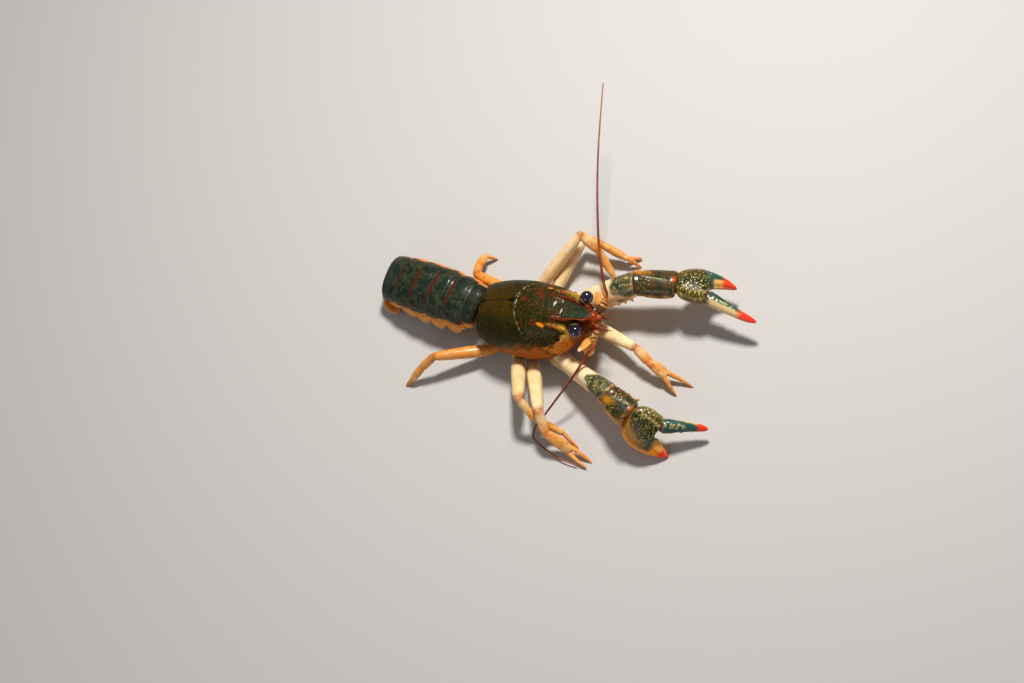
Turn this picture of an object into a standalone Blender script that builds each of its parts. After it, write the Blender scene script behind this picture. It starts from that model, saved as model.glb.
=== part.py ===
# Paintedhand mudbug: a burrowing crayfish at life size, standing on its walking legs.
# Lengths below are millimetres. The animal faces +X, its left side is +Y, the floor is z = 0.
import math

import bmesh
import bpy
from mathutils import Matrix, Vector

for old in list(bpy.data.objects):
    bpy.data.objects.remove(old, do_unlink=True)

MM = 0.001
GAP = 0.3

# Head and thorax shell
BODY_PITCH = 5.0
PITCH_PIVOT_HEIGHT = 6.0
PITCH_DROP = 1.0
SHELL_FRONT = 27.4
SHELL_SIDES = 32
GROOVE_PLACE = 12.4
GROOVE_DEPTH = 0.055
SHELL_HALF_WIDTH = ((-2.0, 6.9), (1.0, 7.8), (5.0, 8.9), (10.0, 9.5), (15.0, 9.5), (20.0, 8.7),
                    (24.0, 7.5), (28.0, 6.0))
SHELL_TOP = ((-2.0, 14.0), (0.0, 15.0), (3.0, 16.6), (8.0, 18.4), (12.8, 19.1), (17.0, 19.2),
             (22.0, 18.4), (25.0, 17.4), (28.0, 16.0))
SHELL_LOW = ((-2.0, 6.2), (2.0, 5.5), (8.0, 4.7), (15.0, 4.4), (18.5, 4.7), (22.0, 5.2), (28.0, 7.2))
# How much wider the side is below the middle
SHELL_BULGE = ((0.0, 0.0), (8.0, 0.2), (13.0, 0.4), (17.0, 0.8), (22.0, 1.1), (28.0, 0.7))
# The shell leans a little to the animal's right: shift for each millimetre below the back
SHELL_LEAN = ((-2.0, 0.0), (1.0, 0.02), (5.0, 0.08), (22.0, 0.09), (27.4, 0.03))
SHELL_MIDDLE = ((-2.0, 9.4), (8.0, 9.3), (16.0, 9.8), (22.0, 10.9), (28.0, 11.9))

BREAST = ((3.6, 2.6, 3.4, 7.6), (6.0, 3.9, 2.5, 7.6), (14.6, 3.9, 2.3, 7.6), (17.2, 3.1, 3.3, 8.0),
          (19.0, 2.9, 4.3, 8.4), (21.5, 2.5, 5.4, 9.0))

# How far each place along the shell leans forward at the lower side
SHELL_BEND = ((0.0, -0.5), (5.0, 2.6), (9.0, 6.8), (12.4, 9.8), (16.2, 8.6), (20.0, 6.0), (27.4, 0.2))
BEND_REACH = 1.6
BEND_POWER = 0.95

# Rostrum, the beak between the eyes
ROSTRUM = ((21.5, 3.4, 17.9, 1.2), (25.5, 3.3, 17.35, 1.1), (28.5, 2.8, 16.7, 1.0),
           (31.2, 2.1, 16.1, 0.85), (32.6, 1.1, 15.75, 0.6), (34.0, 0.3, 15.4, 0.35))
RIM_RADIUS = 0.45

# Eyes
EYE_RADIUS = 1.72
EYE_PLACES = {"left": (29.9, 4.75, 15.4), "right": (29.4, -5.0, 15.1)}
STALK_ROOT = ((27.6, 1.2, 14.3), (28.3, 2.5, 14.6))
STALK_RADIUS = 0.95
ORBIT_RADIUS = 2.35

# Feelers: root on the head, and its end
FEELER_ROOT = ((29.4, 2.4, 10.3), (31.9, 3.5, 10.8))

SCALE_WAY = (-2.5, 4.8, 0.4)
# Low rounded segment under the base of the near long feeler
FEELER_LOBE = ((32.2, -5.1, 12.5), (31.6, -6.4, 11.0), (30.9, -7.1, 9.5), (30.6, -7.2, 8.7))
LOBE_SIZES = (0.5, 1.25, 1.35, 0.6)

# Outer mouth legs: root, knee and tip
MOUTH_LEG = ((21.65, 1.45, 6.7), (28.6, 2.1, 6.2), (32.6, 1.6, 8.2))

# Abdomen: dorsal mid line from the shell to the end of the sixth ring
ABDOMEN_LINE = ((-1.5, 0.1, 13.3), (-4.5, 0.7, 13.6), (-10.1, 1.7, 13.8), (-15.8, 2.8, 13.5),
                (-21.4, 3.9, 12.7), (-26.8, 5.0, 11.2), (-31.8, 6.1, 8.6))
ABDOMEN_HALF_WIDTH = (6.4, 7.5, 7.9, 7.9, 7.7, 7.1)
ABDOMEN_HEIGHT = (7.2, 9.9, 10.2, 10.0, 9.4, 7.0)
ABDOMEN_ROLL = 4.0
PLEURON_FLARE = 0.17
SWIMMERET_LENGTH = (0.0, 4.4, 4.4, 4.2, 3.8)

# Tail fan, folded under the last ring
TELSON_LENGTH = 9.4
TELSON_HALF_WIDTH = 2.3
TAIL_THICKNESS = 0.9

COLOURS = {
    "shell": ((0.070, 0.062, 0.022), 0.28),
    "tail_shell": ((0.030, 0.052, 0.036), 0.30),
    "tail_fan": ((0.055, 0.060, 0.030), 0.32),
    "leg": ((0.780, 0.470, 0.190), 0.38),
    "leg_tip": ((0.700, 0.330, 0.080), 0.40),
    "arm": ((0.750, 0.520, 0.260), 0.36),
    "wrist": ((0.050, 0.052, 0.020), 0.30),
    "claw": ((0.075, 0.072, 0.022), 0.32),
    "finger": ((0.030, 0.130, 0.105), 0.25),
    "eye": ((0.010, 0.010, 0.030), 0.08),
    "feeler": ((0.160, 0.040, 0.016), 0.45),
    "mouthparts": ((0.420, 0.130, 0.030), 0.40),
}


def material(kind):
    made = bpy.data.materials.get(kind)
    if made:
        return made
    colour, roughness = COLOURS[kind]
    made = bpy.data.materials.new(kind)
    made.use_nodes = True
    shader = made.node_tree.nodes["Principled BSDF"]
    shader.inputs["Base Color"].default_value = (*colour, 1.0)
    shader.inputs["Roughness"].default_value = roughness
    shader.inputs["Metallic"].default_value = 0.0
    return made


def curve_value(table, x):
    """Smooth value at x of a short table of (x, value) pairs."""
    if x <= table[0][0]:
        return table[0][1]
    if x >= table[-1][0]:
        return table[-1][1]
    for i in range(len(table) - 1):
        x0, v0 = table[i]
        x1, v1 = table[i + 1]
        if x0 <= x <= x1:
            before = table[max(i - 1, 0)]
            after = table[min(i + 2, len(table) - 1)]
            slope0 = (v1 - before[1]) / (x1 - before[0])
            slope1 = (after[1] - v0) / (after[0] - x0)
            span = x1 - x0
            t = (x - x0) / span
            return ((2 * t ** 3 - 3 * t ** 2 + 1) * v0 + (t ** 3 - 2 * t ** 2 + t) * span * slope0
                    + (3 * t ** 2 - 2 * t ** 3) * v1 + (t ** 3 - t ** 2) * span * slope1)
    return table[-1][1]


def lift(point):
    """Body frame to standing frame: the head end is raised a little."""
    angle = math.radians(BODY_PITCH)
    x, y, z = point
    z = z - PITCH_PIVOT_HEIGHT
    return Vector((x * math.cos(angle) - z * math.sin(angle), y,
                   x * math.sin(angle) + z * math.cos(angle) + PITCH_PIVOT_HEIGHT - PITCH_DROP))


def loft_mesh(rings, ladder=False):
    """Closed mesh through rings of points; ladder caps join each ring's two chains."""
    mesh = bmesh.new()
    rows = [[mesh.verts.new(Vector(p) * MM) for p in ring] for ring in rings]
    count = len(rows[0])
    for low, high in zip(rows, rows[1:]):
        for k in range(count):
            n = (k + 1) % count
            mesh.faces.new((low[k], low[n], high[n], high[k]))
    for row in (rows[0], rows[-1]):
        if ladder:
            half = count // 2
            for k in range(half - 1):
                mesh.faces.new((row[k], row[k + 1], row[count - 2 - k], row[count - 1 - k]))
        else:
            centre = mesh.verts.new(sum((v.co for v in row), Vector()) / count)
            for k in range(count):
                mesh.faces.new((row[k], row[(k + 1) % count], centre))
    bmesh.ops.triangulate(mesh, faces=[f for f in mesh.faces if len(f.verts) > 3])
    bmesh.ops.recalc_face_normals(mesh, faces=mesh.faces)
    return mesh


def bead_mesh(centre, radius, sides=6, stretch=None, rows=4):
    """Small rounded knob; stretch is a vector along which it is drawn out."""
    mesh = bmesh.new()
    bmesh.ops.create_uvsphere(mesh, u_segments=sides, v_segments=rows, radius=radius * MM)
    if stretch is not None:
        axis = Vector(stretch)
        turn = Vector((0, 0, 1)).rotation_difference(axis.normalized()).to_matrix().to_4x4()
        long = Matrix.Diagonal((1, 1, axis.length, 1))
        mesh.transform(turn @ long)
    mesh.transform(Matrix.Translation(Vector(centre) * MM))
    return mesh


def add_object(name, mesh, kind):
    data = bpy.data.meshes.new(name)
    mesh.to_mesh(data)
    mesh.free()
    data.shade_smooth()
    data.set_sharp_from_angle(angle=math.radians(38))
    made = bpy.data.objects.new(name, data)
    made.data.materials.append(material(kind))
    bpy.context.scene.collection.objects.link(made)
    return made


def keep_largest(data):
    """Keep only the largest closed surface of a mesh."""
    mesh = bmesh.new()
    mesh.from_mesh(data)
    bmesh.ops.remove_doubles(mesh, verts=mesh.verts, dist=1e-6)
    bmesh.ops.dissolve_degenerate(mesh, dist=1e-6, edges=mesh.edges)
    left = set(mesh.faces)
    groups = []
    while left:
        todo = [left.pop()]
        group = set(todo)
        while todo:
            face = todo.pop()
            for edge in face.edges:
                for other in edge.link_faces:
                    if other in left:
                        left.discard(other)
                        group.add(other)
                        todo.append(other)
        groups.append(group)
    groups.sort(key=lambda g: sum(f.calc_area() for f in g), reverse=True)
    for group in groups[1:]:
        bmesh.ops.delete(mesh, geom=list(group), context="FACES")
    mesh.to_mesh(data)
    mesh.free()


def thorn_mesh(foot, way, length, radius):
    """Small pointed spine whose root reaches back into the part it stands on."""
    foot, way = Vector(foot), Vector(way).normalized()
    points = (foot - way * radius * 0.9, foot + way * length * 0.35, foot + way * length)
    return loft_mesh(path_rings(points, way.orthogonal(), ((radius, radius), (radius * 0.8, radius * 0.8),
                                                           (radius * 0.2, radius * 0.2)), 5))


def fuse(name, meshes, kind, operation="UNION", base=None):
    """One body from overlapping closed meshes; the first is the main one unless a base is given."""
    if base is None:
        base = add_object(name, meshes[0], kind)
        meshes = meshes[1:]
    if not meshes:
        return base
    group = bpy.data.collections.new(name + "_pieces")
    bpy.context.scene.collection.children.link(group)
    pieces = []
    for i, mesh in enumerate(meshes):
        data = bpy.data.meshes.new(name + "_piece")
        mesh.to_mesh(data)
        mesh.free()
        piece = bpy.data.objects.new("%s_piece_%d" % (name, i), data)
        group.objects.link(piece)
        pieces.append(piece)
    join = base.modifiers.new("join", "BOOLEAN")
    join.operation = operation
    join.operand_type = "COLLECTION"
    join.collection = group
    for solver in ("EXACT", "MANIFOLD"):
        join.solver = solver
        bpy.context.view_layer.update()
        graph = bpy.context.evaluated_depsgraph_get()
        data = bpy.data.meshes.new_from_object(base.evaluated_get(graph))
        if data.polygons:
            break
    base.modifiers.remove(join)
    base.data = data
    for piece in pieces:
        bpy.data.objects.remove(piece, do_unlink=True)
    bpy.data.collections.remove(group)
    keep_largest(base.data)
    base.data.materials.clear()
    base.data.materials.append(material(kind))
    base.data.shade_smooth()
    base.data.set_sharp_from_angle(angle=math.radians(38))
    return base


def oval(centre, side, up, half_side, half_up, count, power=2.0, turn=0.0):
    points = []
    for k in range(count):
        angle = 2 * math.pi * (k + turn) / count
        c, s = math.cos(angle), math.sin(angle)
        a = math.copysign(abs(c) ** (2 / power), c) * half_side
        b = math.copysign(abs(s) ** (2 / power), s) * half_up
        points.append(centre + side * a + up * b)
    return points


def limb_rings(joints, stations, side_hint, start_plane=None, end_plane=None, count=10,
               power=2.2, start_gap=GAP / 2, end_gap=GAP / 2):
    """Rings along a jointed limb. A station is (place, half side, half up[, side shift, up shift]);
    place 0 is the first joint, 1 the second and so on, and rings at joints lie in the joint's plane."""
    joints = [Vector(j) for j in joints]
    runs = [(b - a) for a, b in zip(joints, joints[1:])]
    ways = [r.normalized() for r in runs]
    planes = [Vector(start_plane).normalized() if start_plane else ways[0]]
    for a, b in zip(ways, ways[1:]):
        planes.append((a + b).normalized())
    planes.append(Vector(end_plane).normalized() if end_plane else ways[-1])
    rings = []
    last = len(runs) - 1
    for station in stations:
        place, half_side, half_up = station[:3]
        side_shift, up_shift = station[3:5] if len(station) > 3 else (0.0, 0.0)
        i = min(int(place), last)
        t = place - i
        way, length = ways[i], runs[i].length
        side = (Vector(side_hint) - way * way.dot(Vector(side_hint))).normalized()
        up = side.cross(way)
        run = t * length
        if i == 0:
            run = max(run, start_gap)
        if i == last:
            run = min(run, length - end_gap)
        ring = []
        for point in oval(Vector(), side, up, half_side, half_up, count, power, 0.5):
            point = point + side * side_shift + up * up_shift
            start, end = planes[i], planes[i + 1]
            slide = -(1 - t) * point.dot(start) / way.dot(start) - t * point.dot(end) / way.dot(end)
            ring.append(joints[i] + way * (run + slide) + point)
        rings.append(ring)
    return rings


def side_of(joints):
    run = Vector(joints[-1]) - Vector(joints[0])
    run.z = 0
    return run.normalized().cross(Vector((0, 0, 1)))


def path_rings(points, side_hint, sizes, count=8, power=2.0, first=None, last=None):
    """Rings square to a smooth path, of (half side, half up) sizes."""
    points = [Vector(p) for p in points]
    rings = []
    for i, point in enumerate(points):
        way = (points[min(i + 1, len(points) - 1)] - points[max(i - 1, 0)]).normalized()
        if i == 0 and first is not None:
            way = Vector(first).normalized()
        if i == len(points) - 1 and last is not None:
            way = Vector(last).normalized()
        side = (Vector(side_hint) - way * way.dot(Vector(side_hint))).normalized()
        rings.append(oval(point, side, side.cross(way), sizes[i][0], sizes[i][1], count, power, 0.5))
    return rings


# Shell

def shell_point(place, angle, inset=0.0):
    """Point of the shell; angle 90 is the back's mid line, -90 the belly's."""
    s = math.sin(math.radians(angle))
    c = math.cos(math.radians(angle))
    down = (1 - s) / 2
    x = place + curve_value(SHELL_BEND, place) * min(1.0, BEND_REACH * down) ** BEND_POWER
    middle = curve_value(SHELL_MIDDLE, x)
    half = curve_value(SHELL_HALF_WIDTH, x)
    if s >= 0:
        reach, power = curve_value(SHELL_TOP, x) - middle, 2.25
    else:
        reach, power = middle - curve_value(SHELL_LOW, x), 3.4
        half += curve_value(SHELL_BULGE, x) * min(1.0, -1.8 * s)
    y = math.copysign(abs(c) ** (2 / power), c) * half
    z = math.copysign(abs(s) ** (2 / power), s) * reach
    near = math.exp(-((place - GROOVE_PLACE) / 0.25) ** 2) if s > -0.5 else 0.0
    scale = 1 - GROOVE_DEPTH * near
    height = middle + z * scale * (1 - inset)
    lean = curve_value(SHELL_LEAN, x) * (curve_value(SHELL_TOP, x) - height)
    return lift((x, y * scale * (1 - inset) - lean, height))


shell_places = (0.0, 0.7, 3.0, 5.6, 8.2, 10.2, 11.2, 11.9, GROOVE_PLACE, 12.9, 13.8, 16.0, 18.5, 21.0, 23.5, 25.7,
                SHELL_FRONT)
rings = []
for place in shell_places:
    inset = 0.10 if place == 0.0 else 0.12 if place == SHELL_FRONT else 0.0
    rings.append([shell_point(place, -90 + 360 * k / SHELL_SIDES, inset) for k in range(SHELL_SIDES)])
shell_parts = [loft_mesh(rings)]

# Head under the rostrum, from which stalks, feelers and mouthparts grow
head_rings = []
for x, half, low, top in ((20.0, 4.4, 7.9, 14.6), (24.0, 5.0, 7.9, 14.6), (27.5, 5.2, 8.0, 13.2),
                          (30.2, 4.7, 8.6, 12.8), (31.6, 3.2, 9.4, 12.3)):
    head_rings.append([lift(p) for p in oval(Vector((x, 0, (low + top) / 2)), Vector((0, 1, 0)),
                                             Vector((0, 0, 1)), half, (top - low) / 2, 16, 2.6, 0.5)])
shell_parts.append(loft_mesh(head_rings))

# Breast plate between the legs
breast = []
for x, half, low, top in BREAST:
    breast.append([lift(p) for p in oval(Vector((x, 0, (low + top) / 2)), Vector((0, 1, 0)),
                                         Vector((0, 0, 1)), half, (top - low) / 2, 12, 2.6, 0.5)])
shell_parts.append(loft_mesh(breast))

beak = []
for x, half, top, thick in ROSTRUM:
    beak.append([lift(p) for p in oval(Vector((x, 0, top - thick)), Vector((0, 1, 0)), Vector((0, 0, 1)),
                                       half, thick, 12, 2.6, 0.5)])
shell_parts.append(loft_mesh(beak))
shell_roots = []
orbits = []
hollows = []
for side_name, side in (("left", 1), ("right", -1)):
    rim = [lift((x, side * half * 0.93, top - 0.05)) for x, half, top, thick in ROSTRUM[:5]]
    sizes = [(RIM_RADIUS * f, RIM_RADIUS * f) for f in (0.7, 1.0, 1.0, 0.9, 0.6)]
    shell_parts.append(loft_mesh(path_rings(rim, (0, 1, 0), sizes, 6)))
    ridge = [lift(p) for p in ((20.6, side * 4.9, 17.35), (23.0, side * 5.0, 16.95),
                               (25.2, side * 5.05, 16.2), (26.9, side * 5.1, 15.2))]
    shell_parts.append(loft_mesh(path_rings(ridge, (0, 1, 0), ((0.35, 0.35), (0.6, 0.55), (0.6, 0.6),
                                                               (0.2, 0.25)), 6)))
    stalk_root = [lift((x, side * y, z)) for x, y, z in STALK_ROOT]
    shell_roots.append(loft_mesh(path_rings(stalk_root, (0, 0, 1), ((STALK_RADIUS, STALK_RADIUS),) * 2, 8)))
    feeler_root = [lift((x, side * y, z)) for x, y, z in FEELER_ROOT]
    shell_roots.append(loft_mesh(path_rings(feeler_root, (0, 0, 1), ((1.25, 1.25), (1.15, 1.15)), 10)))
    orbit = lift(Vector(EYE_PLACES[side_name]) + Vector((-0.3, -0.5 * side, 0.3)))
    orbits.append(bead_mesh(orbit, ORBIT_RADIUS, 14, (0.25, side * 1.1, 0.1), 8))

# Leg roots, from claw arm to hind leg: place along the body, distance from the mid line, height, radius
LEG_ROOTS = {1: (18.3, 4.7, 4.5, 1.8), 2: (15.3, 3.8, 2.7, 1.4), 3: (11.8, 4.5, 2.8, 1.4), 4: (8.6, 4.5, 3.0, 1.4),
             5: (5.4, 4.3, 3.4, 1.3)}


def leg_root(number, side):
    x, y, z, radius = LEG_ROOTS[number]
    return lift((x, side * y, z))


# Each walking leg: end of the base, knee, end of the wrist, end of the palm, tip
LEGS = {
    ("left", 2): ((21.4, 4.3, 1.8), (42.1, -2.8, 6.6), (45.9, -5.3, 5.2), (51.0, -7.5, 2.9), (57.9, -8.4, 0.0)),
    ("left", 3): ((13.8, 10.2, 2.4), (19.4, 26.2, 6.4), (24.2, 25.2, 5.8), (31.2, 23.6, 2.8), (34.9, 22.8, 0.0)),
    ("left", 4): ((9.6, 9.8, 3.6), (20.1, 24.2, 11.8), (24.6, 22.4, 8.0), (28.7, 18.3, 3.0), (31.0, 16.4, 0.0)),
    ("left", 5): ((2.4, 8.6, 3.2), (-8.1, 11.8, 4.5), (-8.5, 14.9, 4.0), (-8.0, 18.1, 2.7), (-5.4, 18.9, 0.0)),
    ("right", 2): ((18.8, -7.4, 1.7), (29.8, -11.6, 1.7), (35.4, -13.8, 2.3), (41.0, -17.2, 1.8),
                   (46.0, -20.2, 0.0)),
    ("right", 3): ((14.2, -9.8, 2.6), (22.7, -25.9, 9.8), (24.9, -29.9, 6.2), (31.2, -31.9, 2.0),
                   (37.2, -33.6, 0.0)),
    ("right", 4): ((10.4, -10.2, 3.4), (16.9, -23.8, 11.2), (20.8, -26.6, 7.0), (28.3, -27.9, 2.6),
                   (32.6, -30.4, 0.0)),
    ("right", 5): ((2.2, -8.4, 3.2), (-11.4, -14.8, 7.2), (-14.8, -17.4, 4.6), (-17.6, -20.0, 1.9),
                   (-19.6, -21.6, 0.0)),
}
# Fixed finger tips of the two legs that end in small pincers
PINCERS = {("left", 2): (54.1, -11.4, 0.4), ("left", 3): (34.6, 25.2, 0.6), ("right", 2): (45.2, -22.4, 0.5),
           ("right", 3): (36.4, -35.4, 0.6)}
# Claw arms: end of the base, end of the arm, wrist
ARMS = {
    "left": ((23.1, 8.9, 5.1), (38.9, 13.6, 11.6), (49.4, 15.1, 11.3)),
    "right": ((23.1, -8.3, 5.2), (40.5, -18.4, 10.0), (47.1, -22.1, 10.0)),
}
# Arm and wrist: place along, half side, half up, shift to the animal's right
ARM_STATIONS = {
    "left": ((0.0, 2.05, 1.9, 0.1, 0.0), (0.14, 2.9, 2.5, 0.7, 0.0), (0.3, 3.35, 2.9, 0.9, 0.0),
             (0.55, 3.5, 3.2, 0.85, 0.0), (0.82, 3.45, 3.25, 0.7, 0.0), (0.95, 3.2, 2.9, 0.5, 0.0),
             (1.0, 2.8, 2.45, 0.3, 0.0)),
    "right": ((0.0, 2.05, 1.9, 0.0, 0.0), (0.2, 2.25, 2.6, 0.35, 0.0), (0.55, 2.5, 3.2, 0.2, 0.0),
              (0.82, 2.85, 3.3, 0.0, 0.0), (0.95, 2.9, 2.9, 0.0, 0.0), (1.0, 2.6, 2.45, 0.0, 0.0)),
}
WRIST_STATIONS = {
    "left": ((0.0, 2.8, 2.4, 0.3, 0.0), (0.15, 3.4, 2.8, 0.5, 0.0), (0.5, 3.8, 3.0, 0.6, 0.0),
             (0.8, 3.75, 2.9, 0.6, 0.0), (1.0, 3.1, 2.2, 0.35, 0.0)),
    "right": ((0.0, 2.6, 2.4, 0.0, 0.0), (0.15, 3.3, 2.8, 0.2, 0.0), (0.5, 3.8, 3.0, 0.4, 0.0),
              (0.8, 3.9, 2.9, 0.6, 0.0), (1.0, 3.5, 2.2, 0.8, 0.0)),
}
# Claw: way of the palm, outward way across it
CLAWS = {
    "left": ((0.967, 0.048, -0.25), (-0.05, 0.95, -0.30)),
    "right": ((0.784, -0.318, -0.515), (-0.60, -0.68, -0.42)),
}
# Palm and fixed finger: along, inner edge, outer edge, half thickness, droop
PALM = {
    "left": ((0.15, -2.9, 3.0, 2.1, 0.0), (1.2, -3.9, 4.0, 2.4, 0.0), (3.2, -4.6, 5.0, 2.8, 0.0),
             (5.6, -4.8, 5.5, 2.9, 0.0), (8.1, -4.5, 5.4, 2.5, 0.0), (8.25, 0.9, 5.35, 2.1, -0.05),
             (10.6, 1.5, 5.0, 1.7, -0.3), (12.6, 2.1, 4.5, 1.3, -0.6), (14.3, 2.5, 3.9, 0.85, -0.9),
             (15.4, 2.6, 3.2, 0.35, -1.1)),
    "right": ((0.15, -2.7, 4.4, 2.1, 0.0), (1.2, -3.7, 5.8, 2.4, 0.0), (3.2, -4.6, 6.8, 2.8, 0.0),
              (5.6, -4.8, 7.1, 2.9, 0.0), (8.1, -4.5, 6.8, 2.5, 0.0), (8.25, 1.2, 6.7, 2.1, -0.05),
              (10.6, 1.8, 6.1, 1.7, -0.3), (12.6, 2.3, 5.3, 1.3, -0.6), (14.3, 2.7, 4.5, 0.85, -0.9),
              (15.3, 2.9, 3.7, 0.35, -1.1)),
}
# Knobs along the inner edge of the palm: along, across
PALM_KNOBS = ((1.9, -3.75), (2.95, -4.15), (4.0, -4.3), (5.05, -4.4), (6.1, -4.35), (7.1, -4.25))
KNOB_RADIUS = 0.62
# Teeth under the inner edge of the arm: place along it, distance inward, distance down
ARM_TEETH = ((0.22, 1.7, 1.6), (0.34, 1.8, 1.8), (0.46, 1.8, 1.95), (0.58, 1.85, 2.0), (0.70, 1.9, 2.0),
             (0.82, 1.9, 2.0))
# Movable finger: tip in the palm's frame (along, across, droop)
FINGER_TIPS = {"left": (22.2, -6.7, -1.0), "right": (17.6, -9.2, -1.6)}
PALM_SCALE = {"left": 1.0, "right": 0.95}

for side_name, side in (("left", 1), ("right", -1)):
    for number in LEG_ROOTS:
        root = leg_root(number, side)
        radius = LEG_ROOTS[number][3]
        target = Vector(ARMS[side_name][0] if number == 1 else LEGS[(side_name, number)][0])
        way = (target - root).normalized()
        across = side_of((root, target))
        inner = root - way * 1.7 + Vector((0, -0.6 * side, 0.8))
        room = 1.95 if number == 1 else 1.3
        stations = ((0.0, room * 0.9 + 0.35, room * 0.9 + 0.35), (0.4, room + 0.35, room + 0.35),
                    (1.0, room + 0.4, room + 0.4))
        hollows.append(loft_mesh(limb_rings((root + way * 0.9, target + way * 2.0), stations, across,
                                            start_gap=0.0, end_gap=0.0)))
        outer = root + way * (0.9 - GAP / 2)
        rings = path_rings((inner, root - way * 0.8, outer), across,
                           ((radius * 0.8, radius * 0.8), (radius * 1.05, radius * 1.05),
                            (radius * 0.86, radius * 0.86)), 10)
        shell_roots.append(loft_mesh(rings))
    joints = [lift((x, side * y, z)) for x, y, z in MOUTH_LEG]
    hollows.append(loft_mesh(limb_rings(joints, ((0.0, 1.15, 1.2), (0.15, 1.4, 1.45), (1.0, 1.4, 1.4),
                                                 (2.0, 0.8, 0.8)), (0, 1, 0), start_gap=0.0, count=8)))
shell = fuse("cephalothorax", shell_parts, "shell")
fuse("cephalothorax", orbits, "shell", "DIFFERENCE", shell)
fuse("cephalothorax", shell_roots, "shell", "UNION", shell)
fuse("cephalothorax", hollows, "shell", "DIFFERENCE", shell)


# Abdomen rings

def abdomen_frame(i):
    """Way, side and up of ring i, leaning a little with the roll."""
    way = (Vector(ABDOMEN_LINE[i + 1]) - Vector(ABDOMEN_LINE[i])).normalized()
    roll = math.radians(ABDOMEN_ROLL)
    hint = Vector((0, math.cos(roll), math.sin(roll)))
    side = (hint - way * way.dot(hint)).normalized()
    return way, side, way.cross(side) * (1 if way.cross(side).z > 0 else -1)


def arch_section(half, height, lobe):
    """Section of a ring as (across, down) pairs: outer chain left to right, inner chain back."""
    rib, depth = 0.93 * half, 0.60 * height
    right = []
    for angle in (18, 36, 54, 70, 84):
        a = math.radians(angle)
        right.append((rib * math.sin(a) ** (2 / 2.5), depth * (1 - math.cos(a) ** (2 / 2.5))))
    tip = height * (0.66 + 0.34 * lobe)
    flare = PLEURON_FLARE * (tip - depth)
    right.append((rib + 0.55 * flare, depth + 0.5 * (tip - depth)))
    right.append((rib + flare, tip))
    outer = [(-a, d) for a, d in reversed(right)] + [(0.0, 0.0)] + right
    under = depth + min(1.3, 0.75 * (tip - depth))
    inner_right = [(rib * f, under - 0.25 * f * (under - depth)) for f in (0.16, 0.33, 0.5, 0.66, 0.8)]
    inner_right.append((rib + 0.55 * flare - 1.0, max(depth + 0.5 * (tip - depth), under + 0.05)))
    inner_right.append((rib + flare - 0.6, tip - 0.05))
    inner = [(-a, d) for a, d in reversed(inner_right)] + [(0.0, under)] + inner_right
    return outer, list(reversed(inner))


for i in range(6):
    way, side, up = abdomen_frame(i)
    start, end = Vector(ABDOMEN_LINE[i]), Vector(ABDOMEN_LINE[i + 1])
    first = way if i == 0 else (abdomen_frame(i - 1)[0] + way).normalized()
    final = way if i == 5 else (abdomen_frame(i + 1)[0] + way).normalized()
    length = (end - start).length
    rings = []
    for t, swell, lobe in ((0.0, 0.95, 0.10), (0.28, 1.0, 0.80), (0.62, 1.01, 1.0), (0.86, 1.0, 0.70),
                           (1.0, 0.975, 0.05)):
        outer, inner = arch_section(ABDOMEN_HALF_WIDTH[i] * swell, ABDOMEN_HEIGHT[i],
                                    lobe if i else 0.3 * lobe)
        ring = []
        for across, down in outer + inner:
            offset = side * across - up * (down + (1 - swell) * 6)
            run = min(max(t * length, GAP / 2), length - GAP / 2)
            slide = (-(1 - t) * offset.dot(first) / way.dot(first) - t * offset.dot(final) / way.dot(final))
            ring.append(start + way * (run + slide) + offset)
        rings.append(ring)
    pieces = [loft_mesh(rings, ladder=True)]
    if 1 <= i <= 4:
        middle = start.lerp(end, 0.5)
        for hand in (1, -1):
            foot = middle + side * hand * 2.9 - up * (0.6 * ABDOMEN_HEIGHT[i] + 0.8)
            hang = (up * -1.0 + way * 0.55 + side * hand * 0.12).normalized()
            points = (foot, foot + hang * 1.6, foot + hang * 3.4, foot + hang * SWIMMERET_LENGTH[i])
            pieces.append(loft_mesh(path_rings(points, side, ((0.5, 0.5), (0.75, 0.4), (0.9, 0.34),
                                                              (0.4, 0.26)), 6)))
    fuse("pleonite_%d" % (i + 1), pieces, "tail_shell")


# Tail fan, curling down and forward from the last ring
tail_way, tail_side, tail_up = abdomen_frame(5)


def tail_path(start, length, turns, spread):
    """Points of a tail plate that starts behind the last ring and curls under; turns are degrees down."""
    back = Vector((tail_way.x, tail_way.y, 0)).normalized()
    points = [start]
    for turn in turns:
        angle = math.radians(turn)
        direction = back * math.cos(angle) - Vector((0, 0, 1)) * math.sin(angle) + tail_side * spread
        points.append(points[-1] + direction.normalized() * length / len(turns))
    return points


tail_root = Vector(ABDOMEN_LINE[-1]) + tail_way * (GAP + 0.05)
for name, across, below, length, half, spread, turns in (
        ("telson", 0.0, 1.6, TELSON_LENGTH, TELSON_HALF_WIDTH, 0.0, (45, 80, 96, 122, 160, 178)),
        ("uropod_inner_left", 3.95, 2.6, 8.8, 1.3, 0.03, (48, 82, 104, 148, 172, 180)),
        ("uropod_inner_right", -3.95, 2.6, 8.8, 1.3, -0.03, (48, 82, 110, 158, 178, 184)),
        ("uropod_outer_left", 5.9, 3.4, 7.0, 1.1, 0.20, (60, 92, 120, 150, 176, 184)),
        ("uropod_outer_right", -5.9, 3.4, 7.0, 1.1, -0.20, (60, 92, 126, 160, 182, 188))):
    start = tail_root + tail_side * across - tail_up * below
    points = tail_path(start, length, turns, spread)
    sizes = []
    for k in range(len(points)):
        t = k / (len(points) - 1)
        wide = half * (0.62 + 0.38 * math.sin(math.pi * min(1.0, t * 0.95)) if t < 0.95 else 0.55)
        sizes.append((wide, TAIL_THICKNESS * (0.55 if t < 0.9 else 0.32)))
    add_object(name, loft_mesh(path_rings(points, tail_side, sizes, 10, 2.4, first=tail_way)), "tail_fan")


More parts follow.
